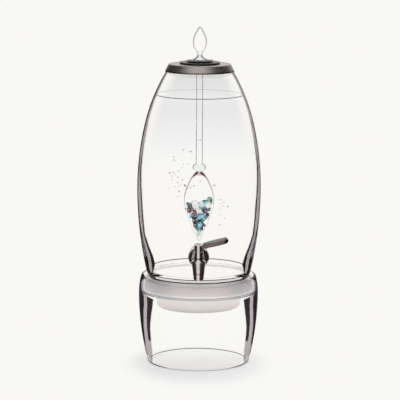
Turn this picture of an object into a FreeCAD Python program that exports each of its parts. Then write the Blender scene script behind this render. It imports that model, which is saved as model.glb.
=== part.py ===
import FreeCAD, Part
import math
import os

# Glass water dispenser with a stand, a lid, a hanging vial of stones and a quarter-turn tap.
# Millimetres, +Z up. The origin is the centre of the stand's foot. The tap faces -Y.

# Gaps between pieces
rest_gap = 0.3
running_gap = 0.08
seal_gap = 0.03
fitted_gap = 0.1
side_gap = 0.4

# Small roundings shared by turned edges
soft_edge = 0.4
fine_edge = 0.3
crisp_edge = 0.2

# Stand: a thick glass ring, open at both ends
stand_ledge_height = 121.0
stand_ledge_width = 16.9
stand_ledge_depth = 16.0
stand_wall = 8.0
stand_widest_drop = 4.0
stand_lip_rise = 6.5
stand_lip_draw_in = 4.6
stand_lip_radius = 3.6
stand_vessel_gap = 6.06
stand_bore_flare = 5.0
stand_foot_wall = 4.94
stand_edge_radius = 1.5

# Seat: a moulded band with a shallow bowl below it
seat_band_height = 18.4
seat_bowl_gap = 4.2
seat_bowl_depth = 28.5
seat_wall = 5.0
seat_bowl_corner = 11.0
seat_edge_radius = 2.0

# Vessel, with heights above its own base
vessel_belly_radius = 102.4
vessel_belly_height = 150.0
vessel_flank_bend = 612.0
vessel_base_corner = 11.0
vessel_upper_bend = 480.0
vessel_shoulder_rise = 110.0
vessel_mouth_rise = 83.6
vessel_mouth_radius = 56.3
vessel_wall_top = 2.6
vessel_wall_belly = 7.3
vessel_inner_flank_bend = 900.0
vessel_floor_thickness = 13.0
vessel_floor_corner = 4.5
vessel_rim_rounding = 0.42

# Lid
lid_height = 12.7
lid_sheet = 1.2
lid_overhang = 1.1
lid_draw_in = 6.7
lid_edge_radius = 2.6
gasket_thickness = 0.8
gasket_sleeve = 1.2
gasket_lip = 2.6
gasket_lip_drop = 2.2
gasket_lip_root = 1.4
gasket_lip_thickness = 0.7
gasket_foot_rise = 0.6
gasket_flange_inset = 0.4
collar_mouth_gap = 3.46
collar_wall = 1.4
collar_drop = 5.6
collar_flange = 5.4

# Sleeve in the lid's hole
sleeve_bulb_gap = 2.7
sleeve_wall = 1.5
sleeve_drop = 11.0
sleeve_rim_width = 2.5
sleeve_rim_thickness = 0.8

# Stopper
stopper_disc_overhang = 2.0
stopper_disc_thickness = 1.7
stopper_plug_gap = 0.6
stopper_plug_length = 10.0
stopper_plug_wall = 4.0
stopper_neck_radius = 18.9
stopper_neck_height = 0.9
stopper_flare_radius = 22.3
stopper_flare_height = 1.7
stopper_dome_height = 0.9
stopper_crown_radius = 13.0
stopper_plug_edge = 1.2
stopper_hollow_edge = 1.0
o_ring_thickness = 2.6

# Vial: heights above the top of the stopper are up, and below it are down
vial_rod_radius = 5.5
vial_rod_wall = 1.6
vial_flange_radius = 10.7
vial_flange_edge = 1.2
vial_neck_radius = 4.2
vial_grip_radius = 11.7
vial_grip_height = 54.8
vial_grip_wall = 1.7
vial_collar_height = 2.6
vial_bore_top = 2.0
vial_knob_radius = 10.8
vial_knob_height = 11.4
vial_knob_drop = 179.1
vial_bulb_radius = 24.8
vial_bulb_length = 116.6
vial_bulb_neck_radius = 3.6
vial_bulb_wall = 1.6

# Tap, in its own frame: t out from the wall, x across, s up
tap_height = 53.4
tap_reach = 26.0
tap_hole_gap = 0.6
shank_radius = 8.0
shank_bore_radius = 4.4
shank_past_nut = 3.0
washer_radius = 15.5
outer_washer_thickness = 2.0
inner_washer_thickness = 3.4
clamp_washer_inset = 1.5
clamp_washer_thickness = 1.5
nut_across_flats = 24.0
nut_thickness = 6.0
nut_bevel = 1.6
flange_radius = 17.4
flange_rim = 1.4
flange_spout_gap = 1.4
flange_wall = 1.6
flange_crown_lip = 0.8
flange_swell_out = 0.86
flange_swell_up = 0.62
collar_plate_radius = 13.0
collar_plate_thickness = 2.0
barrel_radius = 8.2
neck_wall = 1.7
neck_margin = 1.1
neck_rounding = 2.6
neck_edge = 0.5
spout_shoulder_radius = 11.6
spout_shoulder = 0.4
spout_shoulder_rise = 3.6
spout_shoulder_rounding = 3.0
spout_wall = 2.2
spout_outlet_edge = 0.8
spout_outlet = -30.2
spout_bore_radius = 6.0
spout_bore_length = 18.0

# Valve plug, gland nut and handle
plug_radius = 4.6
plug_bottom = -7.8
plug_top = 12.4
plug_port_radius = 3.2
plug_drop_radius = 2.9
plug_ring_thickness = 1.8
plug_ring_drops = (5.4, 2.4)
stem_radius = 2.6
stem_flat = 2.0
gland_shoulder = 1.0
gland_height = 4.4
gland_slot_width = 1.4
gland_slot_depth = 1.2
thrust_washer_thickness = 0.4
thrust_washer_gap = 0.1
thrust_washer_inset = 0.6
hub_radius = 7.4
hub_height = 11.0
hub_crown = 0.5
screw_radius = 1.5
screw_head_radius = 2.7
screw_head_height = 1.5
screw_recess = 2.0
screw_bridge = 1.3
screw_length = 7.0
screw_slot = 0.7
screw_end_gap = 0.5
lever_tip = 47.3
lever_rise = 14.5
arm_width = 6.4
arm_height = 6.2
arm_end = 15.0
arm_edge = 1.4
arm_place = 0.61
paddle_thickness = 6.8
paddle_start = 6.0
paddle_root_half_width = 5.4
paddle_half_width = 9.2
paddle_widest = 30.0
paddle_corner = 6.6
paddle_edge = 2.3
paddle_side_bulge = 1.1
paddle_taper = 0.6

# Stones
stone_wall_gap = 0.7
stone_spacing = 0.95
stone_step = 0.2
stone_fill_radii = (4.6, 4.0, 5.0, 4.3, 3.7)
stone_fill_top = 0.53
stone_fill_count = 36

axis_z = FreeCAD.Vector(0, 0, 1)
origin = FreeCAD.Vector(0, 0, 0)


# Outlines are drawn in the XZ plane as (radius, height) and turned about Z

def at(r, z):
    return FreeCAD.Vector(r, 0, z)


def arc_sag(radius, reach):
    """How far an arc falls back from its widest point over a reach along its tangent."""
    return radius - math.sqrt(radius ** 2 - reach ** 2)


def line(p, q):
    return Part.LineSegment(at(*p), at(*q)).toShape()


def arc_about(centre, p, q):
    """The shorter arc from p to q about a centre."""
    radius = math.hypot(p[0] - centre[0], p[1] - centre[1])
    mid_r = (p[0] + q[0]) / 2 - centre[0]
    mid_z = (p[1] + q[1]) / 2 - centre[1]
    scale = radius / math.hypot(mid_r, mid_z)
    middle = (centre[0] + mid_r * scale, centre[1] + mid_z * scale)
    return Part.Arc(at(*p), at(*middle), at(*q)).toShape()


def smooth(points):
    curve = Part.BSplineCurve()
    curve.interpolate([at(*p) for p in points])
    return curve.toShape()


def turned(edges):
    face = Part.Face(Part.Wire(edges))
    return face.revolve(origin, axis_z, 360)


def rounded_edges(corners):
    """Edges of a closed outline given as (radius, height, corner radius)."""
    starts, ends, arcs = [], [], []
    count = len(corners)
    for i, (r, z, rounding) in enumerate(corners):
        before = corners[i - 1]
        after = corners[(i + 1) % count]
        here = at(r, z)
        to_before = (at(before[0], before[1]) - here).normalize()
        to_after = (at(after[0], after[1]) - here).normalize()
        if rounding == 0:
            starts.append(here)
            ends.append(here)
            arcs.append(None)
            continue
        half = to_before.getAngle(to_after) / 2
        cut = rounding / math.tan(half)
        middle = (to_before + to_after).normalize()
        centre = here + middle * (rounding / math.sin(half))
        starts.append(here + to_before * cut)
        ends.append(here + to_after * cut)
        arcs.append(centre - middle * rounding)
    edges = []
    for i in range(count):
        if arcs[i] is not None:
            edges.append(Part.Arc(starts[i], arcs[i], ends[i]).toShape())
        following = starts[(i + 1) % count]
        if (following - ends[i]).Length > 1e-6:
            edges.append(Part.LineSegment(ends[i], following).toShape())
    return edges


def rounded_turning(corners):
    return turned(rounded_edges(corners))


def corner_inside_arc(centre, radius, level, rounding, side):
    """Where a corner rounding meets a level line and the inside of a large arc.

    side is 1 for a line at the bottom and -1 for a line at the top.
    """
    corner_z = level + side * rounding
    reach = radius - rounding
    corner_r = centre[0] + math.sqrt(reach ** 2 - (corner_z - centre[1]) ** 2)
    share = radius / reach
    on_arc = (
        centre[0] + (corner_r - centre[0]) * share,
        centre[1] + (corner_z - centre[1]) * share,
    )
    return (corner_r, level), (corner_r, corner_z), on_arc


def cylinder(radius, low, high):
    return Part.makeCylinder(radius, high - low, at(0, low), axis_z)


def ring(outer, inner, low, high):
    return cylinder(outer, low, high).cut(cylinder(inner, low, high))


def bend_through(run, rise):
    """The radius of an arc that starts upright and moves in by a run over a rise."""
    return (run ** 2 + rise ** 2) / (2 * run)


# Levels that stack up from the foot
seat_base = stand_ledge_height + rest_gap
seat_top = seat_base + seat_band_height
vessel_base = seat_top + rest_gap
stand_top = vessel_base + stand_lip_rise
belly_z = vessel_base + vessel_belly_height
shoulder_z = belly_z + vessel_shoulder_rise
rim_z = shoulder_z + vessel_mouth_rise
gasket_bottom = rim_z + rest_gap
lid_bottom = gasket_bottom + gasket_thickness
lid_top = lid_bottom + lid_height
sleeve_top = lid_top + sleeve_rim_thickness
stopper_bottom = sleeve_top + rest_gap
disc_top = stopper_bottom + stopper_disc_thickness
flare_bottom = disc_top + stopper_neck_height
flare_top = flare_bottom + stopper_flare_height
stopper_top = flare_top + stopper_dome_height


def flank_at(height):
    """The outer wall's radius and its lean, in degrees, at a height over the base."""
    reach = vessel_belly_height - height
    radius = vessel_belly_radius - arc_sag(vessel_flank_bend, reach)
    return radius, math.degrees(math.asin(reach / vessel_flank_bend))


# Radii that follow the vessel and the vial
stand_recess_radius = flank_at(stand_lip_rise)[0] + stand_vessel_gap
stand_widest_radius = stand_recess_radius + stand_wall
stand_widest_height = stand_ledge_height - stand_widest_drop
stand_ledge_bore_radius = stand_recess_radius - stand_ledge_width
stand_foot_bore_radius = stand_ledge_bore_radius + stand_bore_flare
seat_bowl_radius = stand_ledge_bore_radius - seat_bowl_gap
lid_bottom_radius = vessel_mouth_radius + lid_overhang
lid_top_radius = lid_bottom_radius - lid_draw_in
sleeve_bore_radius = vial_bulb_radius + sleeve_bulb_gap
lid_hole_radius = sleeve_bore_radius + sleeve_wall
sleeve_rim_radius = lid_hole_radius + sleeve_rim_width
stopper_disc_radius = sleeve_rim_radius + stopper_disc_overhang
stopper_plug_radius = sleeve_bore_radius - stopper_plug_gap

# Sizes of the tap that follow from others
tap_hole_radius = shank_radius + tap_hole_gap
flange_height = tap_reach - spout_shoulder_radius - outer_washer_thickness - flange_spout_gap
gland_radius = plug_radius + gland_shoulder
neck_radius = gland_radius + neck_wall
neck_top = plug_top + fitted_gap + gland_height + neck_margin
spout_outlet_radius = spout_bore_radius + spout_wall
plug_ring_heights = [plug_top - drop for drop in plug_ring_drops]
hub_bottom = neck_top + thrust_washer_gap + thrust_washer_thickness
hub_top = hub_bottom + hub_height
stem_top = hub_top - screw_recess - screw_bridge


# Stand

def make_stand():
    foot_draw_in = stand_widest_radius - stand_foot_bore_radius - stand_foot_wall
    flank_bend = bend_through(foot_draw_in, stand_widest_height)
    outer_centre = (stand_widest_radius - flank_bend, stand_widest_height)
    foot_in, foot_centre, foot_out = corner_inside_arc(
        outer_centre, flank_bend, 0, stand_edge_radius, 1)
    widest = (stand_widest_radius, stand_widest_height)
    lip_bend = bend_through(stand_lip_draw_in, stand_top - stand_widest_height)
    lip_bend_centre = (stand_widest_radius - lip_bend, stand_widest_height)
    lip_in, lip_centre, lip_out = corner_inside_arc(
        lip_bend_centre, lip_bend, stand_top, stand_lip_radius, -1)
    ledge_low = stand_ledge_height - stand_ledge_depth
    bore_bend = bend_through(stand_bore_flare, ledge_low)
    bore_centre = (stand_foot_bore_radius - bore_bend, 0)
    edge = stand_edge_radius
    return turned([
        line((stand_foot_bore_radius, 0), foot_in),
        arc_about(foot_centre, foot_in, foot_out),
        arc_about(outer_centre, foot_out, widest),
        arc_about(lip_bend_centre, widest, lip_out),
        arc_about(lip_centre, lip_out, lip_in),
        line(lip_in, (stand_recess_radius, stand_top)),
        line((stand_recess_radius, stand_top), (stand_recess_radius, stand_ledge_height)),
        line((stand_recess_radius, stand_ledge_height),
             (stand_ledge_bore_radius + edge, stand_ledge_height)),
        arc_about((stand_ledge_bore_radius + edge, stand_ledge_height - edge),
                  (stand_ledge_bore_radius + edge, stand_ledge_height),
                  (stand_ledge_bore_radius, stand_ledge_height - edge)),
        line((stand_ledge_bore_radius, stand_ledge_height - edge),
             (stand_ledge_bore_radius, ledge_low)),
        arc_about(bore_centre, (stand_ledge_bore_radius, ledge_low), (stand_foot_bore_radius, 0)),
    ])


def make_seat():
    band_radius = stand_recess_radius - side_gap
    bowl_bottom = seat_base - seat_bowl_depth
    inner_radius = seat_bowl_radius - seat_wall
    return rounded_turning([
        (0, bowl_bottom, 0),
        (seat_bowl_radius, bowl_bottom, seat_bowl_corner),
        (seat_bowl_radius, seat_base, 0),
        (band_radius, seat_base, seat_edge_radius),
        (band_radius, seat_top, seat_edge_radius),
        (inner_radius, seat_top, seat_edge_radius),
        (inner_radius, bowl_bottom + seat_wall, seat_bowl_corner - seat_wall),
        (0, bowl_bottom + seat_wall, 0),
    ])


# Vessel

def vessel_shoulder():
    """The shoulder's turn, its point, and the centre and radius of the arc up to the rim."""
    turn = math.asin(vessel_shoulder_rise / vessel_upper_bend)
    shoulder = (vessel_belly_radius - vessel_upper_bend * (1 - math.cos(turn)), shoulder_z)
    run = shoulder[0] - vessel_mouth_radius
    inwards = run * math.cos(turn) - vessel_mouth_rise * math.sin(turn)
    bend = (run ** 2 + vessel_mouth_rise ** 2) / (2 * inwards)
    centre = (shoulder[0] - bend * math.cos(turn), shoulder_z - bend * math.sin(turn))
    return turn, shoulder, centre, bend


def vessel_outer_edges():
    """From the middle of the base, out and up to the rim."""
    flank_centre = (vessel_belly_radius - vessel_flank_bend, belly_z)
    base_out, corner_centre, on_flank = corner_inside_arc(
        flank_centre, vessel_flank_bend, vessel_base, vessel_base_corner, 1)
    belly = (vessel_belly_radius, belly_z)
    upper_centre = (vessel_belly_radius - vessel_upper_bend, belly_z)
    turn, shoulder, shoulder_centre, bend = vessel_shoulder()
    rim = (vessel_mouth_radius, rim_z)
    return [
        line((0, vessel_base), base_out),
        arc_about(corner_centre, base_out, on_flank),
        arc_about(flank_centre, on_flank, belly),
        arc_about(upper_centre, belly, shoulder),
        arc_about(shoulder_centre, shoulder, rim),
    ]


def vessel_inner_edges():
    """From the rim, down the inner wall to the middle of the floor."""
    turn, shoulder, shoulder_centre, bend = vessel_shoulder()
    inner_shoulder = bend - vessel_wall_top
    rim_in = (
        shoulder_centre[0]
        + math.sqrt(inner_shoulder ** 2 - (rim_z - shoulder_centre[1]) ** 2),
        rim_z,
    )
    joint = (
        shoulder_centre[0] + inner_shoulder * math.cos(turn),
        shoulder_centre[1] + inner_shoulder * math.sin(turn),
    )
    inner_belly = vessel_belly_radius - vessel_wall_belly
    upper_radius = (inner_belly - joint[0]) / (1 - math.cos(turn))
    inner_belly_z = joint[1] - upper_radius * math.sin(turn)
    upper_centre = (inner_belly - upper_radius, inner_belly_z)
    flank_centre = (inner_belly - vessel_inner_flank_bend, inner_belly_z)
    floor = vessel_base + vessel_floor_thickness
    floor_out, corner_centre, on_flank = corner_inside_arc(
        flank_centre, vessel_inner_flank_bend, floor, vessel_floor_corner, 1)
    return [
        arc_about(shoulder_centre, rim_in, joint),
        arc_about(upper_centre, joint, (inner_belly, inner_belly_z)),
        arc_about(flank_centre, (inner_belly, inner_belly_z), on_flank),
        arc_about(corner_centre, on_flank, floor_out),
        line(floor_out, (0, floor)),
    ], rim_in


def vessel_body():
    """The outer form with no hollow, and the hollow, as two solids."""
    inner, rim_in = vessel_inner_edges()
    floor = vessel_base + vessel_floor_thickness
    lid_line = line((vessel_mouth_radius, rim_z), (0, rim_z))
    full = turned(vessel_outer_edges() + [lid_line, line((0, rim_z), (0, vessel_base))])
    hollow = turned([line((0, rim_z), rim_in)] + inner + [line((0, floor), (0, rim_z))])
    return full, hollow


tap_wall_radius, tap_lean = flank_at(tap_height)
tap_origin = FreeCAD.Vector(0, -tap_wall_radius, vessel_base + tap_height)


def to_tap(shape):
    """Moves a shape from the tap's own frame to its place on the vessel's wall."""
    placed = shape.copy()
    placed.rotate(origin, FreeCAD.Vector(1, 0, 0), tap_lean)
    placed.translate(tap_origin)
    return placed


def along_tap(radius, start, end):
    """A cylinder along the tap's shank, from start to end outwards."""
    return Part.makeCylinder(
        radius, end - start, FreeCAD.Vector(0, -start, 0), FreeCAD.Vector(0, -1, 0))


def make_vessel(full, hollow):
    bored = full.cut(hollow)
    hole = to_tap(along_tap(tap_hole_radius, -3 * washer_radius, washer_radius))
    bored = bored.cut(hole)
    rim_edges = [
        edge for edge in bored.Edges
        if abs(edge.BoundBox.ZMin - rim_z) < 0.01 and abs(edge.BoundBox.ZMax - rim_z) < 0.01
    ]
    return bored.makeFillet(vessel_wall_top * vessel_rim_rounding, rim_edges)


# Lid

def make_lid_shell():
    lean = (lid_bottom_radius - lid_top_radius) / lid_height
    skirt_in = lid_sheet * math.sqrt(1 + lean ** 2)
    under = lid_top - lid_sheet
    inner_top = lid_top_radius - skirt_in + lean * lid_sheet
    return rounded_turning([
        (lid_bottom_radius, lid_bottom, fine_edge),
        (lid_top_radius, lid_top, lid_edge_radius),
        (lid_hole_radius, lid_top, 0),
        (lid_hole_radius, under, 0),
        (inner_top, under, lid_edge_radius - lid_sheet),
        (lid_bottom_radius - skirt_in, lid_bottom, 0),
    ])


collar_radius = vessel_inner_edges()[1][0] - collar_mouth_gap


def make_lid_collar():
    inner = collar_radius - collar_wall
    under = lid_top - lid_sheet
    bottom = rim_z - collar_drop
    return rounded_turning([
        (inner, bottom, soft_edge),
        (collar_radius, bottom, soft_edge),
        (collar_radius, lid_bottom, 0),
        (collar_radius + collar_flange, lid_bottom, fine_edge),
        (collar_radius + collar_flange, lid_bottom + collar_wall, fine_edge),
        (collar_radius, lid_bottom + collar_wall, 0),
        (lid_top_radius - lid_edge_radius, under, 0),
        (inner - collar_wall, under, 0),
        (inner, lid_bottom + collar_wall, 0),
    ])


def make_lid_gasket():
    inner = collar_radius
    sleeve = inner + gasket_sleeve
    flange = lid_bottom_radius - gasket_flange_inset
    bottom = rim_z - collar_drop + gasket_foot_rise
    lip = sleeve + gasket_lip
    lip_z = gasket_bottom - gasket_lip_drop
    return rounded_turning([
        (inner, bottom, 0),
        (sleeve, bottom, fine_edge),
        (sleeve, lip_z - gasket_lip_root, 0),
        (lip, lip_z, fine_edge),
        (lip, lip_z + gasket_lip_thickness, fine_edge),
        (sleeve, lip_z + gasket_lip_thickness, crisp_edge),
        (sleeve, gasket_bottom, crisp_edge),
        (flange, gasket_bottom, crisp_edge),
        (flange, lid_bottom, crisp_edge),
        (inner, lid_bottom, 0),
    ])


def make_hole_sleeve():
    bottom = sleeve_top - sleeve_drop
    return rounded_turning([
        (sleeve_bore_radius, bottom, soft_edge),
        (lid_hole_radius, bottom, soft_edge),
        (lid_hole_radius, lid_top, 0),
        (sleeve_rim_radius, lid_top, fine_edge),
        (sleeve_rim_radius, sleeve_top, fine_edge),
        (sleeve_bore_radius, sleeve_top, soft_edge),
    ])


# Stopper and vial

def make_stopper():
    bore = vial_rod_radius + running_gap
    plug_bottom_z = stopper_bottom - stopper_plug_length
    ring_z = stopper_bottom - stopper_plug_length / 2
    groove = sleeve_bore_radius - running_gap - o_ring_thickness - seal_gap
    half = o_ring_thickness / 2 + seal_gap
    boss = bore + stopper_plug_wall
    skirt = groove - stopper_plug_wall / 2
    return rounded_turning([
        (bore, plug_bottom_z, soft_edge),
        (boss, plug_bottom_z, soft_edge),
        (boss, stopper_bottom, stopper_hollow_edge),
        (skirt, stopper_bottom, stopper_hollow_edge),
        (skirt, plug_bottom_z, soft_edge),
        (stopper_plug_radius, plug_bottom_z, stopper_plug_edge),
        (stopper_plug_radius, ring_z - half, 0),
        (groove, ring_z - half, 0),
        (groove, ring_z + half, 0),
        (stopper_plug_radius, ring_z + half, 0),
        (stopper_plug_radius, stopper_bottom, 0),
        (stopper_disc_radius, stopper_bottom, soft_edge),
        (stopper_disc_radius, disc_top, 2 * soft_edge),
        (stopper_neck_radius, disc_top, soft_edge),
        (stopper_neck_radius, flare_bottom, 0),
        (stopper_flare_radius, flare_bottom + stopper_flare_height * 0.6, soft_edge),
        (stopper_flare_radius, flare_top, soft_edge),
        (stopper_crown_radius, stopper_top, 0),
        (bore, stopper_top, 0),
    ])


def make_stopper_o_ring():
    half = o_ring_thickness / 2
    ring_z = stopper_bottom - stopper_plug_length / 2
    return Part.makeTorus(sleeve_bore_radius - running_gap - half, half, at(0, ring_z), axis_z)


knob_centre = stopper_top - vial_knob_drop
knob_bottom = knob_centre - vial_knob_height / 2
bulb_tip = knob_bottom - vial_bulb_length


def bulb_points():
    """The bulb's outline from its tip up to its neck, as shares of its radius and length."""
    shares = (
        (0.0, 0.0), (0.085, 0.018), (0.15, 0.05), (0.37, 0.145), (0.58, 0.25), (0.78, 0.37),
        (0.945, 0.485), (1.0, 0.575), (0.93, 0.69), (0.72, 0.815), (0.44, 0.925),
    )
    points = [
        (share_r * vial_bulb_radius, bulb_tip + share_z * vial_bulb_length)
        for share_r, share_z in shares
    ]
    return points + [(vial_bulb_neck_radius, knob_bottom)]


def grip_points():
    """The grip's outline from its neck up to its tip."""
    top = stopper_top + vial_grip_height
    shares = ((0.81, 0.348), (0.99, 0.51), (0.93, 0.67), (0.54, 0.855), (0.16, 0.975))
    neck = [
        (vial_neck_radius + 1.1, stopper_top + 5.0),
        (vial_neck_radius, stopper_top + 9.0),
        (vial_neck_radius + 1.2, stopper_top + 13.0),
    ]
    swell = [
        (share_r * vial_grip_radius, stopper_top + share_z * vial_grip_height)
        for share_r, share_z in shares
    ]
    return neck + swell + [(0.0, top)]


def inset(points, wall, samples=26):
    """Points along an outline's curve moved in by a wall, where they stay off the axis."""
    curve = Part.BSplineCurve()
    curve.interpolate([at(*p) for p in points])
    first, last = curve.FirstParameter, curve.LastParameter
    moved = []
    for i in range(1, samples):
        parameter = first + (last - first) * i / samples
        here = curve.value(parameter)
        along = curve.tangent(parameter)[0]
        r = here.x - wall * along.z
        if r > wall / 2:
            moved.append((r, here.z + wall * along.x))
    return moved


def closed_hollow(points):
    """A sealed hollow: its side curve, closed by short domes on the axis."""
    low = (0.0, points[0][1] - points[0][0] * 0.5)
    high = (0.0, points[-1][1] + points[-1][0] * 0.5)
    side = [low] + points + [high]
    return turned([smooth(side), line(high, low)])


def bulb_hollow_points():
    return inset(bulb_points(), vial_bulb_wall)


def make_vial():
    neck_end = bulb_points()[-1]
    knob_mid = (vial_knob_radius, knob_centre)
    knob_top = (vial_rod_radius, knob_centre + vial_knob_height / 2)
    flange_low = (vial_flange_radius, stopper_top)
    flange_high = (vial_flange_radius, stopper_top + vial_flange_edge)
    collar = (vial_flange_radius * 0.78, stopper_top + vial_collar_height)
    grip = grip_points()
    tip = grip[-1]
    body = turned([
        smooth(bulb_points()),
        Part.Arc(at(*neck_end), at(*knob_mid), at(*knob_top)).toShape(),
        line(knob_top, (vial_rod_radius, stopper_top)),
        line((vial_rod_radius, stopper_top), flange_low),
        line(flange_low, flange_high),
        smooth([flange_high, collar] + grip),
        line(tip, bulb_points()[0]),
    ])
    rod_bore = vial_rod_radius - vial_rod_wall
    bore_end = stopper_top - vial_bore_top
    rod_hollow = rounded_turning([
        (0, knob_centre, 0),
        (rod_bore, knob_centre, rod_bore * 0.8),
        (rod_bore, bore_end, rod_bore * 0.8),
        (0, bore_end, 0),
    ])
    grip_hollow = closed_hollow(inset(grip[2:], vial_grip_wall))
    bulb_hollow = closed_hollow(bulb_hollow_points())
    return body.cut(rod_hollow).cut(grip_hollow).cut(bulb_hollow)


# Stones in the bulb

def hollow_radius(z):
    """The bulb's inner radius at a height, between the points of its outline."""
    points = bulb_hollow_points()
    for (r0, z0), (r1, z1) in zip(points, points[1:]):
        if z0 <= z <= z1:
            return r0 + (r1 - r0) * (z - z0) / (z1 - z0)
    return 0.0


def inside_bulb(reach, z, radius):
    """True if a ball whose centre is at this reach from the axis clears the glass."""
    for step in range(-4, 5):
        angle = step * math.pi / 9
        edge = reach + radius * math.cos(angle) + stone_wall_gap
        if edge > hollow_radius(z + radius * math.sin(angle)):
            return False
    return True


# Stones seen at the front of the bulb, as (colour, x, height over the tip, radius)
front_stones = (
    ("milky", -5.5, 61.5, 5.8),
    ("aqua", 5.0, 63.0, 5.2),
    ("milky", 13.5, 60.5, 4.6),
    ("green", 17.6, 67.5, 4.4),
    ("navy", -15.0, 61.0, 4.2),
    ("brown", -16.2, 52.0, 4.4),
    ("green", 16.2, 52.0, 4.6),
    ("navy", 9.5, 53.5, 4.4),
    ("milky", 1.0, 51.5, 4.8),
    ("brown", -7.0, 48.0, 4.6),
    ("sky", -13.5, 43.5, 4.6),
    ("navy", 13.5, 43.5, 4.9),
    ("sky", 3.0, 42.5, 4.2),
    ("navy", -5.5, 35.5, 5.8),
    ("green", 8.0, 35.0, 4.9),
    ("brown", 8.9, 27.5, 3.4),
    ("teal", -5.6, 24.5, 4.8),
    ("sky", 2.0, 28.0, 3.4),
    ("navy", 5.0, 21.0, 4.4),
    ("aqua", -0.5, 13.5, 3.8),
)
fill_colours = ("sky", "milky", "teal", "aqua", "green", "navy", "milky", "brown")


def stone_places():
    """Every stone as (colour, x, y, z, radius): the front ones, then the fill behind."""
    placed = []
    for colour, x, height, radius in front_stones:
        z = bulb_tip + height
        while not inside_bulb(0, z, radius):
            radius -= stone_step
        reach = hollow_radius(z)
        while not inside_bulb(reach, z, radius):
            reach -= stone_step
        reach = max(reach, 0)
        x = max(-reach, min(x, reach))
        y = -math.sqrt(reach ** 2 - x ** 2)
        placed.append((colour, x, y, z, radius))
    ceiling = bulb_tip + stone_fill_top * vial_bulb_length
    for number in range(stone_fill_count):
        radius = stone_fill_radii[number % len(stone_fill_radii)]
        spot = lowest_spot(placed, radius, ceiling, number)
        if spot is not None:
            placed.append((fill_colours[number % len(fill_colours)],) + spot + (radius,))
    return placed


def lowest_spot(placed, radius, ceiling, number):
    """The lowest free place for a ball in the bulb, trying the wall first."""
    turns = 16
    z = bulb_tip + radius
    while z < ceiling:
        wall_reach = hollow_radius(z) - radius - stone_wall_gap
        for share in (1.0, 0.7, 0.4, 0.0):
            reach = wall_reach * share
            if reach < 0 or not inside_bulb(reach, z, radius):
                continue
            for step in range(turns):
                angle = 2 * math.pi * (step + 0.37 * number) / turns
                x = reach * math.cos(angle)
                y = reach * math.sin(angle)
                if all(
                    math.dist((x, y, z), other[1:4]) >= (radius + other[4]) * stone_spacing
                    for other in placed
                ):
                    return (x, y, z)
        z += 0.8
    return None


def make_stone(x, y, z, radius, number):
    """A worn stone with flat faces: three turned blocks' common part."""
    stone = None
    for turn in range(3):
        long = radius * (1.80 - 0.10 * turn)
        wide = radius * (1.48 + 0.08 * turn)
        thick = radius * (1.32 + 0.07 * ((number + turn) % 3))
        block = Part.makeBox(long, wide, thick, FreeCAD.Vector(-long / 2, -wide / 2, -thick / 2))
        block.rotate(origin, FreeCAD.Vector(1, 0, 0), 31 * turn)
        block.rotate(origin, axis_z, 38 * turn)
        stone = block if stone is None else stone.common(block)
    stone.rotate(origin, FreeCAD.Vector(0, 1, 0), 47 * number % 180)
    stone.rotate(origin, FreeCAD.Vector(1, 0, 0), 29 * number % 90 - 45)
    stone.translate(FreeCAD.Vector(x, y, z))
    return stone.Solids[0]


def make_stones():
    groups = {}
    for number, (colour, x, y, z, radius) in enumerate(stone_places()):
        groups.setdefault(colour, []).append(make_stone(x, y, z, radius, number))
    return {
        "gems_" + colour: Part.makeCompound(stones)
        for colour, stones in groups.items()
    }


# Tap

def on_stem(shape):
    """Moves a shape turned about Z out to the tap's stem."""
    placed = shape.copy()
    placed.translate(FreeCAD.Vector(0, -tap_reach, 0))
    return placed


def washer_bore(thickness_start, thickness_end):
    return along_tap(shank_radius + running_gap, thickness_start, thickness_end)


def make_outer_washer(full):
    disc = along_tap(washer_radius, -washer_radius, outer_washer_thickness)
    disc = disc.cut(washer_bore(-washer_radius, outer_washer_thickness))
    clear = full.copy()
    clear.translate(FreeCAD.Vector(0, -fitted_gap, 0))
    return to_tap(disc).cut(clear).Solids[0]


def inner_wall_depth():
    """How deep the wall is along the tap's shank, measured on the hollow's outline."""
    inner, rim_in = vessel_inner_edges()
    flank = inner[2].Curve
    lean = math.radians(tap_lean)
    start = at(tap_wall_radius, tap_origin.z)
    inwards = FreeCAD.Vector(-math.cos(lean), 0, math.sin(lean))
    offset = start - flank.Center
    along = offset.dot(inwards)
    return -along - math.sqrt(along ** 2 - offset.dot(offset) + flank.Radius ** 2)


def make_inner_washer(hollow):
    back = -wall_depth - inner_washer_thickness
    disc = along_tap(washer_radius, back, 0).cut(washer_bore(back, 0))
    clear = hollow.copy()
    clear.translate(FreeCAD.Vector(0, fitted_gap, 0))
    return to_tap(disc).common(clear).Solids[0]


def make_clamp_washer():
    back = clamp_face - clamp_washer_thickness
    disc = along_tap(washer_radius - clamp_washer_inset, back, clamp_face)
    return to_tap(disc.cut(washer_bore(back, clamp_face)))


def make_lock_nut():
    front = clamp_face - clamp_washer_thickness
    corner = nut_across_flats / 2 / math.cos(math.pi / 6)
    points = [
        FreeCAD.Vector(corner * math.cos(i * math.pi / 3), -front, corner * math.sin(i * math.pi / 3))
        for i in range(7)
    ]
    face = Part.Face(Part.makePolygon(points))
    nut = face.extrude(FreeCAD.Vector(0, nut_thickness, 0))
    bevel = Part.makeCone(
        corner - nut_bevel + nut_thickness, corner - nut_bevel, nut_thickness,
        FreeCAD.Vector(0, -front, 0), FreeCAD.Vector(0, 1, 0))
    nut = nut.common(bevel)
    return to_tap(nut.cut(washer_bore(front - nut_thickness, front)))


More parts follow.
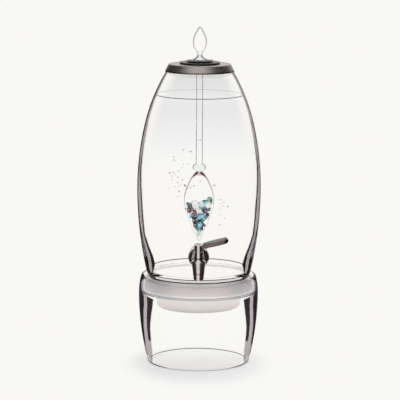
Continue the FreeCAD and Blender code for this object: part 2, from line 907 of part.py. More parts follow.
def make_tap_flange():
    """A domed cup round the barrel, turned about its own axis and laid along the tap."""
    base = outer_washer_thickness
    crown = base + flange_height
    bore = barrel_radius + running_gap
    start = (flange_radius, base + flange_rim)
    finish = (bore + flange_crown_lip, crown)
    half_turn = (
        flange_radius * flange_swell_out,
        base + flange_rim + (flange_height - flange_rim) * flange_swell_up,
    )
    inner_start = (flange_radius - flange_wall, base + flange_rim)
    inner_mid = (half_turn[0] - flange_wall * 0.8, half_turn[1] - flange_wall * 0.8)
    inner_finish = (bore, crown - flange_wall)
    cup = turned([
        line((flange_radius, base), start),
        Part.Arc(at(*start), at(*half_turn), at(*finish)).toShape(),
        line(finish, (bore, crown)),
        line((bore, crown), inner_finish),
        Part.Arc(at(*inner_finish), at(*inner_mid), at(*inner_start)).toShape(),
        line(inner_start, (flange_radius - flange_wall, base)),
        line((flange_radius - flange_wall, base), (flange_radius, base)),
    ])
    cup.rotate(origin, FreeCAD.Vector(1, 0, 0), 90)
    return to_tap(cup)


def make_tap_body():
    column = rounded_turning([
        (0, spout_outlet, 0),
        (spout_outlet_radius, spout_outlet, spout_outlet_edge),
        (spout_shoulder_radius, spout_shoulder, spout_shoulder_rounding),
        (neck_radius, spout_shoulder + spout_shoulder_rise, neck_rounding),
        (neck_radius, neck_top, neck_edge),
        (0, neck_top, 0),
    ])
    shank_end = clamp_face - clamp_washer_thickness - nut_thickness - shank_past_nut
    body = on_stem(column)
    body = body.fuse(along_tap(barrel_radius, collar_plate_thickness, tap_reach))
    plate_end = outer_washer_thickness + collar_plate_thickness
    body = body.fuse(along_tap(collar_plate_radius, outer_washer_thickness, plate_end))
    body = body.fuse(along_tap(shank_radius, shank_end, plate_end))
    bores = cylinder(plug_radius + running_gap, plug_bottom - fitted_gap, plug_top + seal_gap)
    bores = bores.fuse(cylinder(gland_radius, plug_top + seal_gap, neck_top))
    bore_top = spout_outlet + spout_bore_length
    bores = bores.fuse(cylinder(spout_bore_radius, spout_outlet, bore_top))
    bores = bores.fuse(Part.makeCone(
        spout_bore_radius, plug_port_radius, plug_bottom - bore_top, at(0, bore_top), axis_z))
    body = body.cut(on_stem(bores))
    body = body.cut(along_tap(shank_bore_radius, shank_end, tap_reach))
    return to_tap(body.removeSplitter())


def make_gland_nut():
    low = plug_top + fitted_gap
    high = low + gland_height
    nut = ring(gland_radius - running_gap, stem_radius + running_gap, low, high)
    slot = Part.makeBox(
        2 * gland_radius, gland_slot_width, gland_slot_depth,
        FreeCAD.Vector(-gland_radius, -gland_slot_width / 2, high - gland_slot_depth))
    return to_tap(on_stem(nut.cut(slot)))


def make_valve_plug():
    plug = cylinder(plug_radius, plug_bottom, plug_top)
    stem = cylinder(stem_radius, plug_top, stem_top)
    flats = Part.makeBox(4 * stem_flat, 2 * stem_flat, stem_top - neck_top,
                         FreeCAD.Vector(-2 * stem_flat, -stem_flat, neck_top))
    stem = stem.cut(cylinder(2 * stem_radius, neck_top, stem_top).cut(flats))
    plug = plug.fuse(stem)
    plug = plug.cut(cylinder(plug_drop_radius, plug_bottom, plug_drop_radius / 2))
    plug = plug.cut(Part.makeCylinder(
        plug_port_radius, 2 * plug_radius, origin, FreeCAD.Vector(-1, 0, 0)))
    for height in plug_ring_heights:
        half = plug_ring_thickness / 2 + seal_gap
        floor = plug_radius - plug_ring_thickness + running_gap - 2 * seal_gap
        plug = plug.cut(ring(2 * plug_radius, floor, height - half, height + half))
    plug = plug.cut(cylinder(screw_radius, stem_top - screw_length, stem_top))
    return to_tap(on_stem(plug))


def make_plug_o_rings():
    half = plug_ring_thickness / 2
    centre = plug_radius + running_gap - seal_gap - half
    rings = [
        to_tap(on_stem(Part.makeTorus(centre, half, at(0, height), axis_z)))
        for height in plug_ring_heights
    ]
    return Part.makeCompound(rings)


def make_thrust_washer():
    low = neck_top + thrust_washer_gap
    outer = hub_radius - thrust_washer_inset
    washer = ring(outer, stem_radius + running_gap, low, low + thrust_washer_thickness)
    return to_tap(on_stem(washer))


def make_paddle():
    """A flat tongue that widens from the arm to a rounded end, laid along +X and raised."""
    length = lever_tip / math.cos(math.radians(lever_rise))
    corner = paddle_corner
    root = FreeCAD.Vector(paddle_start, paddle_root_half_width, 0)
    bend = FreeCAD.Vector(
        (paddle_start + paddle_widest) / 2,
        (paddle_root_half_width + paddle_half_width) / 2 + paddle_side_bulge, 0)
    wide = FreeCAD.Vector(paddle_widest, paddle_half_width, 0)
    side_end = FreeCAD.Vector(length - corner, paddle_half_width - paddle_taper, 0)
    tip_side = FreeCAD.Vector(length - paddle_taper, paddle_half_width - corner, 0)
    inside = corner * (1 - math.sqrt(0.5)) + 0.75 * paddle_taper
    corner_mid = FreeCAD.Vector(length - inside, paddle_half_width - inside, 0)
    tip = FreeCAD.Vector(length, 0, 0)

    def mirrored(point):
        return FreeCAD.Vector(point.x, -point.y, 0)

    edges = [
        Part.Arc(root, bend, wide).toShape(),
        Part.LineSegment(wide, side_end).toShape(),
        Part.Arc(side_end, corner_mid, tip_side).toShape(),
        Part.Arc(tip_side, tip, mirrored(tip_side)).toShape(),
        Part.Arc(mirrored(tip_side), mirrored(corner_mid), mirrored(side_end)).toShape(),
        Part.LineSegment(mirrored(side_end), mirrored(wide)).toShape(),
        Part.Arc(mirrored(wide), mirrored(bend), mirrored(root)).toShape(),
        Part.LineSegment(mirrored(root), root).toShape(),
    ]
    face = Part.Face(Part.Wire(edges))
    face.translate(FreeCAD.Vector(0, 0, -paddle_thickness / 2))
    slab = face.extrude(FreeCAD.Vector(0, 0, paddle_thickness))
    slab = slab.makeFillet(paddle_edge, slab.Edges)
    slab.rotate(origin, FreeCAD.Vector(0, 1, 0), -lever_rise)
    return slab


def make_lever():
    hub = rounded_turning([
        (0, hub_bottom, 0),
        (hub_radius, hub_bottom, soft_edge),
        (hub_radius, hub_top - hub_crown, 2 * soft_edge),
        (hub_radius * 0.6, hub_top, 0),
        (0, hub_top, 0),
    ])
    arm_z = hub_bottom + hub_height * arm_place
    arm = Part.makeBox(arm_end, arm_width, arm_height,
                       FreeCAD.Vector(0, -arm_width / 2, -arm_height / 2))
    arm = arm.makeFillet(arm_edge, [edge for edge in arm.Edges if edge.BoundBox.XLength > 1])
    arm.rotate(origin, FreeCAD.Vector(0, 1, 0), -lever_rise / 3)
    arm.translate(FreeCAD.Vector(0, 0, arm_z))
    paddle = make_paddle()
    paddle.translate(FreeCAD.Vector(0, 0, arm_z))
    handle = hub.fuse(arm).fuse(paddle)
    socket = cylinder(stem_radius + seal_gap, hub_bottom, stem_top + fitted_gap)
    flats = Part.makeBox(4 * stem_flat, 2 * (stem_flat + seal_gap), hub_height,
                         FreeCAD.Vector(-2 * stem_flat, -stem_flat - seal_gap, hub_bottom))
    handle = handle.cut(socket.common(flats))
    handle = handle.cut(cylinder(screw_radius + fitted_gap, stem_top, hub_top))
    head_hole = screw_head_radius + fitted_gap
    handle = handle.cut(cylinder(head_hole, hub_top - screw_recess, hub_top + hub_crown))
    return to_tap(on_stem(handle.removeSplitter()))


def make_lever_screw():
    seat = hub_top - screw_recess
    head = rounded_turning([
        (0, seat, 0),
        (screw_head_radius, seat, 0),
        (screw_head_radius, seat + screw_head_height, soft_edge),
        (0, seat + screw_head_height, 0),
    ])
    shank_end = stem_top - screw_length + screw_end_gap
    shank = cylinder(screw_radius - seal_gap, shank_end, seat)
    slot = Part.makeBox(2 * screw_head_radius, screw_slot, screw_slot, FreeCAD.Vector(
        -screw_head_radius, -screw_slot / 2, seat + screw_head_height - screw_slot))
    return to_tap(on_stem(head.fuse(shank).cut(slot)))


wall_depth = inner_wall_depth()
clamp_face = -wall_depth - inner_washer_thickness

# Build every piece and write it
full_form, hollow_form = vessel_body()
nodes = {
    "stand_ring": make_stand(),
    "seat_bowl": make_seat(),
    "glass_vessel": make_vessel(full_form, hollow_form),
    "outer_washer": make_outer_washer(full_form),
    "inner_washer": make_inner_washer(hollow_form),
    "clamp_washer": make_clamp_washer(),
    "lock_nut": make_lock_nut(),
    "tap_flange": make_tap_flange(),
    "tap_body": make_tap_body(),
    "gland_nut": make_gland_nut(),
    "valve_plug": make_valve_plug(),
    "plug_o_rings": make_plug_o_rings(),
    "thrust_washer": make_thrust_washer(),
    "lever_handle": make_lever(),
    "lever_screw": make_lever_screw(),
    "lid_shell": make_lid_shell(),
    "lid_collar": make_lid_collar(),
    "lid_gasket": make_lid_gasket(),
    "hole_sleeve": make_hole_sleeve(),
    "stopper": make_stopper(),
    "stopper_o_ring": make_stopper_o_ring(),
    "gem_vial": make_vial(),
}
nodes.update(make_stones())

os.makedirs("parts", exist_ok=True)
for name, shape in nodes.items():
    shape.exportStep("parts/" + name + ".step")

stem_foot = to_tap(Part.Vertex(0, -tap_reach, 0)).Vertexes[0].Point
outlet = to_tap(Part.Vertex(0, -tap_reach, spout_outlet)).Vertexes[0].Point
print("lean of the tap, degrees", round(tap_lean, 4))
print("stem's foot", [round(v, 4) for v in stem_foot])
print("outlet's centre", [round(v, 4) for v in outlet])
print("wall at the tap", round(wall_depth, 3), "stones", len(stone_places()))
print("levels: rim", rim_z, "lid top", lid_top, "stopper top", stopper_top, "bulb tip", bulb_tip)
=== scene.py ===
import math
import random

import bmesh
import bpy
from mathutils import Euler, Matrix, Vector, noise


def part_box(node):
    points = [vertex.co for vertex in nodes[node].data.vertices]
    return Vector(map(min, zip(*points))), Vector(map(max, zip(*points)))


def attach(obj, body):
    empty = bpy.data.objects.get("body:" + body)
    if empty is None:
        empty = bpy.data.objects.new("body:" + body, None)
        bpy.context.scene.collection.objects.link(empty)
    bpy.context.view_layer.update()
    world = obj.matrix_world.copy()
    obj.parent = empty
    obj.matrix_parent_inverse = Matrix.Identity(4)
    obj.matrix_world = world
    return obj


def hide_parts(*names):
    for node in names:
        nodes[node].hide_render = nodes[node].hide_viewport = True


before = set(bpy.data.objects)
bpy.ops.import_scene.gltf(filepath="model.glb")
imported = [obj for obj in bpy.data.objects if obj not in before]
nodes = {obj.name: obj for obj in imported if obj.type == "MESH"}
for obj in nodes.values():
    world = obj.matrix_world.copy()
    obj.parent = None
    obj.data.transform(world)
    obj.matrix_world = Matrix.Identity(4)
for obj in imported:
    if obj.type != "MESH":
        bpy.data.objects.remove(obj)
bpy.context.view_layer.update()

# Looks of a glass water dispenser: its stand, vessel, tap, lid, stopper and vial of stones.
# Metres, +Z up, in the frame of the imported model. The tap faces -Y. Only the heights and widths
# of the marks in the glass and on the tap are in mm.

mm_per_m = 1000

# Camera, as fitted to the photograph
camera_distance = 3.62617
camera_height = 0.84980
camera_tilt = math.radians(9.075)
camera_roll = math.radians(0.33)
camera_aside = 0.0016
camera_clip = (0.05, 200.0)
focal_length_px = 2215.24
photo_width_px = 400
sensor_width_mm = 36

# Studio light: even, and stronger from above, the front and the right. The mean is that of an
# upward lean over the sky, and keeps the floor's level at 1.
key_lean = Vector((0.20, -0.20, 0.30))
overhead_mean = 2 / 3
light_bounces = 32
glossy_bounces = 12

# Floor, whose shadow fades into plain paper towards the back and all round
paper_colour = (0.947, 0.939, 0.905)
shaded_floor_colour = (0.905, 0.912, 0.930)
floor_size = 60.0
plain_floor_shares = (0.12, 0.85)
shadow_tail = (-0.09, 0.10)
shadow_shift = (0, 0.03, 0)
shadow_reach = Vector((0.13, 0.18, 1))
shadow_edge = (0.5, 1.05)

# Dark round screen with two windows, whose edges are given as turns from the window's middle
screen_distance = 0.40
screen_foot = 0.10
screen_foot_heights = (0.0005, 0.001)
screen_top = 1.6
screen_steps = 96
screen_colour = (0.035, 0.029, 0.030)
screen_turn = math.radians(-8)
window_count = 2
window_clear = (math.radians(11), math.radians(20))
window_dark = (math.radians(30), math.radians(74))
window_spread = (0.35, 0.70)

# Water
water_level = 0.4469
water_colour = (0.996, 0.994, 0.994)
waterline_depth = 0.0009
waterline_softness_mm = 0.3
steepest_surface = 0.75
ripple_depth = 0.001
water_wall_gap = 0.00015
meniscus_height = 0.0013
meniscus_width = 0.0030
meniscus_steps = 6
meniscus_power = 2.2
bottom_insets = (0.004, 0.002)
bottom_lift = 0.0002
water_rings = 60
ring_spacing_power = 1.6
lathe_steps = 160
axis_radius = 1e-9

# Bubbles; their ranges are lowest, highest and most usual
bubble_seed = 11
bubble_count = 56
bubble_heights = (0.205, 0.385, 0.30)
bubble_reaches = (0.0272, 0.062, 0.034)
bubble_radii = (0.0006, 0.0014, 0.0008)
bubble_lengths = (0.8, 1.6)
bubble_depths = (0.8, 1.3)
bubble_turning = 30.0
bubble_left = 0.33

# Stones; each colour's tones are dark, light and vein, with how clear the stone is
stone_tones = {
    "gems_sky": ((0.05, 0.22, 0.52), (0.26, 0.62, 0.98), (0.80, 0.94, 1.0), 0.0),
    "gems_teal": ((0.003, 0.05, 0.045), (0.02, 0.27, 0.22), (0.50, 0.90, 0.80), 0.0),
    "gems_green": ((0.002, 0.03, 0.014), (0.015, 0.17, 0.09), (0.42, 0.75, 0.55), 0.0),
    "gems_navy": ((0.002, 0.003, 0.008), (0.015, 0.02, 0.055), (0.40, 0.46, 0.66), 0.0),
    "gems_brown": ((0.020, 0.006, 0.006), (0.16, 0.05, 0.032), (0.72, 0.46, 0.38), 0.0),
    "gems_aqua": ((0.30, 0.62, 0.62), (0.62, 0.90, 0.88), (1.0, 1.0, 1.0), 0.1),
    "gems_milky": ((0.80, 0.84, 0.95), (0.95, 0.96, 1.0), (1.0, 1.0, 1.0), 0.05),
}
stone_stops = (0.36, 0.46, 0.58, 0.66)
# Painted glints: white specks on the stones that stand in for highlights
glint_colour = (0.95, 0.96, 1.0)
stone_seeds = 20
stone_growth = 1.30
chip_shares = (1.35, 1.15, 0.90)
chip_corners = 12
flattest_edge = math.radians(8)
chip_bevel = 0.08
bevel_profile = 0.6
swell_scale = 420
swell_share = 0.05
stone_wall_gap = 0.00025
same_corner = 1e-6

# Metal tones, dark and light
bright_steel = ((0.66, 0.60, 0.59), (0.76, 0.69, 0.68))
flange_steel = ((0.52, 0.47, 0.46), (0.76, 0.69, 0.68))
# The paddle's darker tones are painted dark reflection
dark_reflection_steel = ((0.130, 0.103, 0.097), (0.190, 0.152, 0.144))
lid_steel = ((0.36, 0.32, 0.315), (0.50, 0.455, 0.45))
brass = ((0.55, 0.40, 0.16), (0.68, 0.52, 0.24))
smear_shares = (0.7, 1.4)

# Lever's hub, along X
hub_edge = (0.0060, 0.0075)
hub_colour = (0.66, 0.60, 0.59)

# Marks on the tap's body, in mm: rings of painted shade at the groove and the spout's step, and a
# rougher band for a softer sheen
spout_groove = (194.2, 195.4)
groove_softness = 0.8
groove_shade_colour = (0.10, 0.085, 0.08)
spout_step = (168.8, 170.2)
step_softness = 1.2
step_share = 0.5
spout_sheen = (179.0, 190.0)
sheen_softness = 4.0
sheen_roughness = 0.16

# Lid
lid_foot_band = (0.0012, 0.0030)
lid_foot_band_colour = (0.075, 0.065, 0.063)
brushing_turn = 0.002

# Plastic and rubber; the shares are those of the cloudiness in their colour and polish
rubber_black = (0.03, 0.03, 0.03)
satin_black = (0.022, 0.020, 0.021)
slip_white = (0.80, 0.80, 0.78)
darker_share = 0.85
rougher_share = 1.15
milky_tones = ((0.88, 0.88, 0.87), (0.97, 0.97, 0.96))
clear_tones = ((0.97, 0.97, 0.97), (1.0, 1.0, 1.0))

# Seat; the stops are shares of its height. Its tones are painted light and shade: darker towards
# the bowl's foot and the band's top, with a painted highlight on the band's lower edge.
seat_cloud = ((0.93, 0.93, 0.93), (1.0, 1.0, 1.0))
seat_light_and_shade = (
    (0.0, (0.56, 0.51, 0.51)), (0.10, (0.82, 0.76, 0.76)), (0.30, (0.96, 0.91, 0.91)),
    (0.50, (1.0, 0.98, 0.98)), (0.61, (1.0, 0.99, 0.99)), (0.67, (1.0, 0.99, 0.99)),
    (0.70, (0.80, 0.73, 0.74)), (0.95, (0.66, 0.60, 0.61)), (1.0, (0.78, 0.74, 0.75)),
)
seat_glow = ((0.0, (0.15, 0.15, 0.15)), (0.55, (0.15, 0.15, 0.15)), (0.75, (0.05, 0.05, 0.05)))

# Indices of refraction. They are low for glass and water, whose bands are painted refraction in
# the material.
glass_ior = 1.12
vial_ior = 1.05
water_ior = 1.01
bubble_ior = 1.02
unseen_ior = 1.003
silicone_ior = 1.41
seat_ior = 1.45
stone_ior = 1.55

# Painted refraction and shade in the glass: streaks, rings, specks, a grey shade and a whitened
# foot
untinted = (1, 1, 1)
usual_look_down = math.radians(10)
slope_limit = 1.0001
widest_streak_mm = 50
streak_wobble = 0.0002
streak_softness = 0.0003
halo_width = 0.0016
level_margin = 1e-5
lid_shade_reach = (0.004, 0.022)
shade_reach = (0.028, 0.075)
speck_edge = (0.50, 0.62)
speck_softness_mm = 8
pale_fade_mm = (-3, 1)
ring_softness_mm = 0.8
inner_ring_softness_mm = 0.3
vial_foot_mm = (502, 510)
vial_foot_softness_mm = 2.0
vial_foot_painted_reflection = 0.85

# Vessel's floor, which mirrors what lies round it; heights from the floor in mm
floor_levelness = 0.25
floor_layer_mm = (-0.3, 3.0)
floor_layer_softness_mm = 0.1
floor_aslant = (0.60, 0.78)
floor_roughness = 0.2

# Display levels run from 0 to 255; this curve turns them into light
top_level = 255
level_offset = 0.055
level_power = 2.4

# A noise's values lie mostly between these
noise_low = 0.3
noise_high = 0.7


# Shader nodes

def feed(tree, socket, value):
    """Gives an input a number, a vector or a colour, or links another node's output to it."""
    if isinstance(value, bpy.types.NodeSocket):
        tree.links.new(value, socket)
    elif socket.type == "RGBA":
        socket.default_value = (*value, 1)
    else:
        socket.default_value = value


def set_inputs(tree, node, **values):
    """Feeds a node's inputs, named with _ in place of a space."""
    for name, value in values.items():
        feed(tree, node.inputs[name.replace("_", " ")], value)


def add_node(tree, kind, **settings):
    """A shader node; each key names a property to set or an input to feed."""
    node = tree.nodes.new(kind)
    for key, value in settings.items():
        if hasattr(node, key):
            setattr(node, key, value)
        else:
            set_inputs(tree, node, **{key: value})
    return node


def new_material(name):
    """A material, its node tree and its main shader."""
    material = bpy.data.materials.new(name)
    material.use_nodes = True
    tree = material.node_tree
    return material, tree, tree.nodes["Principled BSDF"]


def calculate(tree, operation, *values):
    """A Math node's result; each value is a number or another node's output."""
    node = add_node(tree, "ShaderNodeMath", operation=operation)
    for socket, value in zip(node.inputs, values):
        feed(tree, socket, value)
    return node.outputs["Value"]


def calculate_vector(tree, operation, *values):
    """A Vector Math node's result: a number for a length or dot product, else a vector."""
    node = add_node(tree, "ShaderNodeVectorMath", operation=operation)
    for socket, value in zip(node.inputs, values):
        feed(tree, socket, value)
    return node.outputs["Value" if operation in ("LENGTH", "DOT_PRODUCT") else "Vector"]


def object_point(tree):
    """The place of what is seen, in metres."""
    return add_node(tree, "ShaderNodeTexCoord").outputs["Object"]


def split(tree, vector):
    """A vector's X, Y and Z."""
    return add_node(tree, "ShaderNodeSeparateXYZ", Vector=vector).outputs


def height_of(tree):
    """The height of what is seen, in metres."""
    return split(tree, object_point(tree))["Z"]


def upward_lean(tree):
    """1 where the surface faces up, 0 on a wall and -1 where it faces down."""
    return split(tree, add_node(tree, "ShaderNodeNewGeometry").outputs["Normal"])["Z"]


def facing_away(tree):
    """0 where the surface is seen squarely and 1 at its outline."""
    return add_node(tree, "ShaderNodeLayerWeight").outputs["Facing"]


def noise_of(tree, point, scale, detail=3.0, roughness=0.5, distortion=0.0):
    """A cloudy noise; the scale is how many of its features fit in a metre."""
    return add_node(tree, "ShaderNodeTexNoise", Vector=point, Scale=scale, Detail=detail,
                    Roughness=roughness, Distortion=distortion).outputs["Fac"]


def ranged(tree, value, low, high, start=noise_low, end=noise_high):
    """A number that goes from low to high while the value goes from start to end."""
    return add_node(tree, "ShaderNodeMapRange", Value=value, From_Min=start, From_Max=end,
                    To_Min=low, To_Max=high).outputs["Result"]


def smooth_step(tree, value, start, end):
    """A number that eases from 0 to 1 while the value goes from start to end."""
    return add_node(tree, "ShaderNodeMapRange", interpolation_type="SMOOTHSTEP", Value=value,
                    From_Min=start, From_Max=end).outputs["Result"]


def ramp(tree, value, stops):
    """A colour that changes with the value, from stops of (value, colour)."""
    node = add_node(tree, "ShaderNodeValToRGB", Fac=value)
    elements = node.color_ramp.elements
    while len(elements) < len(stops):
        elements.new(0.5)
    for element, (place, colour) in zip(elements, stops):
        element.position = place
        element.color = (*colour, 1)
    return node.outputs["Color"]


def mottled(tree, cloud, dark, light):
    """Two colours mixed by a noise."""
    return ramp(tree, cloud, ((noise_low, dark), (noise_high, light)))


def blend_colours(tree, share, first, second, mode="MIX"):
    """The first colour where the share is 0, and the second where it is 1."""
    node = add_node(tree, "ShaderNodeMix", data_type="RGBA", blend_type=mode, Factor=share)
    colour_inputs = [socket for socket in node.inputs if socket.type == "RGBA"]
    for socket, colour in zip(colour_inputs, (first, second)):
        feed(tree, socket, colour)
    return next(socket for socket in node.outputs if socket.type == "RGBA")


def blend_shaders(tree, share, first, second):
    """The first shader where the share is 0, and the second where it is 1."""
    node = add_node(tree, "ShaderNodeMixShader", Fac=share)
    for socket, shader in zip(list(node.inputs)[1:], (first, second)):
        feed(tree, socket, shader.outputs[0])
    return node.outputs["Shader"]


def bumped(tree, shader, height, strength, distance):
    """Adds a fine relief to a shader, over any that it has."""
    normal = shader.inputs["Normal"]
    bump = add_node(tree, "ShaderNodeBump", Strength=strength, Distance=distance, Height=height)
    if normal.is_linked:
        set_inputs(tree, bump, Normal=normal.links[0].from_socket)
    feed(tree, normal, bump.outputs["Normal"])


def make_clear(tree, shader, ior):
    """Makes a shader clear and smooth."""
    set_inputs(tree, shader, Transmission_Weight=1.0, IOR=ior, Roughness=0.0)


# Camera and studio

def make_camera():
    """A camera that looks a little down and leans a third of a degree."""
    data = bpy.data.cameras.new("photo_camera")
    data.sensor_width = sensor_width_mm
    data.lens = sensor_width_mm * focal_length_px / photo_width_px
    data.clip_start, data.clip_end = camera_clip
    camera = bpy.data.objects.new("photo_camera", data)
    bpy.context.scene.collection.objects.link(camera)
    place = Matrix.Translation((camera_aside, -camera_distance, camera_height))
    aim = Matrix.Rotation(math.pi / 2 - camera_tilt, 4, "X")
    camera.matrix_world = place @ aim @ Matrix.Rotation(camera_roll, 4, "Z")
    bpy.context.scene.camera = camera


def seen_directly(tree):
    """1 where the camera looks straight on, or through or off something; else 0."""
    path = add_node(tree, "ShaderNodeLightPath").outputs
    seen = calculate(tree, "MAXIMUM", path["Is Camera Ray"], path["Is Glossy Ray"])
    return calculate(tree, "MAXIMUM", seen, path["Is Transmission Ray"])


def make_world():
    """Soft light from all round, a little stronger from the upper right front, on paper."""
    world = bpy.data.worlds.new("studio")
    world.use_nodes = True
    bpy.context.scene.world = world
    tree = world.node_tree
    tree.nodes.clear()
    direction = add_node(tree, "ShaderNodeTexCoord").outputs["Generated"]
    lean = calculate_vector(tree, "DOT_PRODUCT", direction, key_lean)
    level = calculate(tree, "ADD", lean, 1 - key_lean.z * overhead_mean)
    light = add_node(tree, "ShaderNodeBackground", Color=(1, 1, 1), Strength=level)
    paper = add_node(tree, "ShaderNodeBackground", Color=paper_colour)
    shown = blend_shaders(tree, seen_directly(tree), light, paper)
    add_node(tree, "ShaderNodeOutputWorld", Surface=shown)


def make_floor():
    """A pale floor that keeps the object's shadow, which fades into plain paper where seen."""
    mesh = bpy.data.meshes.new("floor")
    half = floor_size / 2
    corners = [(-half, -half, 0), (half, -half, 0), (half, half, 0), (-half, half, 0)]
    mesh.from_pydata(corners, [], [(0, 1, 2, 3)])
    floor = bpy.data.objects.new("floor", mesh)
    bpy.context.scene.collection.objects.link(floor)
    material, tree, shader = new_material("paper_floor")
    set_inputs(tree, shader, Base_Color=shaded_floor_colour, Roughness=1.0,
               Specular_IOR_Level=0.0)
    paper = add_node(tree, "ShaderNodeEmission", Color=paper_colour, Strength=1.0)
    point = object_point(tree)
    behind = ranged(tree, split(tree, point)["Y"], *plain_floor_shares, *shadow_tail)
    moved = calculate_vector(tree, "ADD", point, shadow_shift)
    shares = calculate_vector(tree, "DIVIDE", moved, shadow_reach)
    around = smooth_step(tree, calculate_vector(tree, "LENGTH", shares), *shadow_edge)
    plain = calculate(tree, "MAXIMUM", behind, around)
    shown = calculate(tree, "MULTIPLY", seen_directly(tree), plain)
    set_inputs(tree, tree.nodes["Material Output"],
               Surface=blend_shaders(tree, shown, shader, paper))
    mesh.materials.append(material)


def screen_material():
    """Dark, with soft-edged windows before and behind that spread towards the floor."""
    material, tree, shader = new_material("studio_screen")
    tree.nodes.remove(shader)
    x, y, z = split(tree, object_point(tree))
    turn = calculate(tree, "ARCTAN2", x, y)
    wave = calculate(tree, "COSINE", calculate(tree, "MULTIPLY", turn, window_count))
    edges = [
        ranged(tree, z, math.cos(window_count * low), math.cos(window_count * high),
               *window_spread)
        for low, high in (window_dark, window_clear)
    ]
    dark = add_node(tree, "ShaderNodeEmission", Color=screen_colour, Strength=1.0)
    window = add_node(tree, "ShaderNodeBsdfTransparent", Color=(1, 1, 1))
    shown = blend_shaders(tree, smooth_step(tree, wave, *edges), dark, window)
    set_inputs(tree, tree.nodes["Material Output"], Surface=shown)
    return material


def make_screen():
    """A dark round screen with two windows, seen only in metal."""
    foot_height, bend_height = screen_foot_heights
    outline = ((screen_foot, foot_height), (screen_distance, bend_height),
               (screen_distance, screen_top))
    rows = len(outline)
    corners = []
    faces = []
    for i in range(screen_steps):
        turn = 2 * math.pi * i / screen_steps
        corners += [(reach * math.sin(turn), reach * math.cos(turn), z) for reach, z in outline]
        j = (i + 1) % screen_steps
        faces += [(rows * i + k, rows * j + k, rows * j + k + 1, rows * i + k + 1)
                  for k in range(rows - 1)]
    mesh = bpy.data.meshes.new("studio_screen")
    mesh.from_pydata(corners, [], faces)
    mesh.materials.append(screen_material())
    screen = bpy.data.objects.new("studio_screen", mesh)
    bpy.context.scene.collection.objects.link(screen)
    screen.rotation_euler.z = screen_turn
    screen.visible_camera = False
    screen.visible_diffuse = False
    screen.visible_shadow = False
    screen.visible_transmission = False


# Glass

def leg(tree, square, side):
    """A right triangle's other side, from its longest side squared and one side."""
    rest = calculate(tree, "SUBTRACT", square, calculate(tree, "MULTIPLY", side, side))
    return calculate(tree, "SQRT", rest)


def edge_distance(tree, normal, flat):
    """How far inside the outline a place on a round wall is seen, in metres.

    It follows from how far the surface faces away, for someone who looks a little down. flat
    is the place without its height.
    """
    up = split(tree, normal)["Z"]
    level = leg(tree, slope_limit, up)
    towards = calculate(tree, "SUBTRACT", calculate(tree, "SUBTRACT", 1.0, facing_away(tree)),
                        calculate(tree, "MULTIPLY", up, math.sin(usual_look_down)))
    front = calculate(tree, "DIVIDE", towards,
                      calculate(tree, "MULTIPLY", level, math.cos(usual_look_down)))
    front = calculate(tree, "MINIMUM", calculate(tree, "MAXIMUM", front, 0.0), 1.0)
    inward = calculate(tree, "SUBTRACT", 1.0, leg(tree, 1.0, front))
    return calculate(tree, "MULTIPLY", calculate_vector(tree, "LENGTH", flat), inward)


def by_height(tree, z, stops):
    """A colour that changes with height, from stops of (height in mm, colour)."""
    low = stops[0][0]
    span = stops[-1][0] - low
    share = calculate(tree, "DIVIDE", calculate(tree, "SUBTRACT", z, low / mm_per_m),
                      span / mm_per_m)
    return ramp(tree, share, [((height - low) / span, colour) for height, colour in stops])


def widths_by_height(tree, z, stations):
    """Three widths in metres that change with height, from stations (height, widths) in mm."""
    stops = [(height, tuple(width / widest_streak_mm for width in widths))
             for height, *widths in stations]
    shares = add_node(tree, "ShaderNodeSeparateColor", Color=by_height(tree, z, stops)).outputs
    return [calculate(tree, "MULTIPLY", shares[name], widest_streak_mm / mm_per_m)
            for name in ("Red", "Green", "Blue")]


def seen_as(*levels):
    """The colour of clear glass that shows paper behind it at these levels, 0 to 255.

    It is squared, because one face of the glass tints the light by its colour's root.
    """
    tint = []
    for level, paper in zip(levels, paper_colour):
        light = ((level / top_level + level_offset) / (1 + level_offset)) ** level_power
        tint.append(min(1.0, light / paper) ** 2)
    return tuple(tint)


def greys_by_height(tree, z, stops):
    """A grey that changes with height, from stops of (height in mm, level)."""
    return by_height(tree, z, [(height, seen_as(level, level, level)) for height, level in stops])


def between(tree, z, low, high, softness):
    """1 between two heights in mm, with soft ends outside them."""
    rise = smooth_step(tree, z, (low - softness) / mm_per_m, low / mm_per_m)
    fall = smooth_step(tree, z, high / mm_per_m, (high + softness) / mm_per_m)
    return calculate(tree, "MULTIPLY", rise, calculate(tree, "SUBTRACT", 1.0, fall))


def with_rings(tree, z, rings, softness, colour):
    """A colour with rings over it, from (low, high, tone) in mm."""
    for low, high, tone in rings:
        colour = blend_colours(tree, between(tree, z, low, high, softness), colour, tone)
    return colour


def with_specks(tree, point, z, colour, low, high, tone):
    """A colour with pale specks over it between two heights in mm."""
    specks = smooth_step(tree, noise_of(tree, point, scale=520.0, detail=2.0, roughness=0.6),
                         *speck_edge)
    zone = between(tree, z, low + speck_softness_mm, high - speck_softness_mm,
                   speck_softness_mm)
    return blend_colours(tree, calculate(tree, "MULTIPLY", specks, zone), colour, tone)


def with_pale_foot(tree, z, colour, height, tone):
    """A colour that gives way to a paler tone below a height in mm."""
    start, end = pale_fade_mm
    fade = smooth_step(tree, z, (height + start) / mm_per_m, (height + end) / mm_per_m)
    return blend_colours(tree, fade, tone, colour)


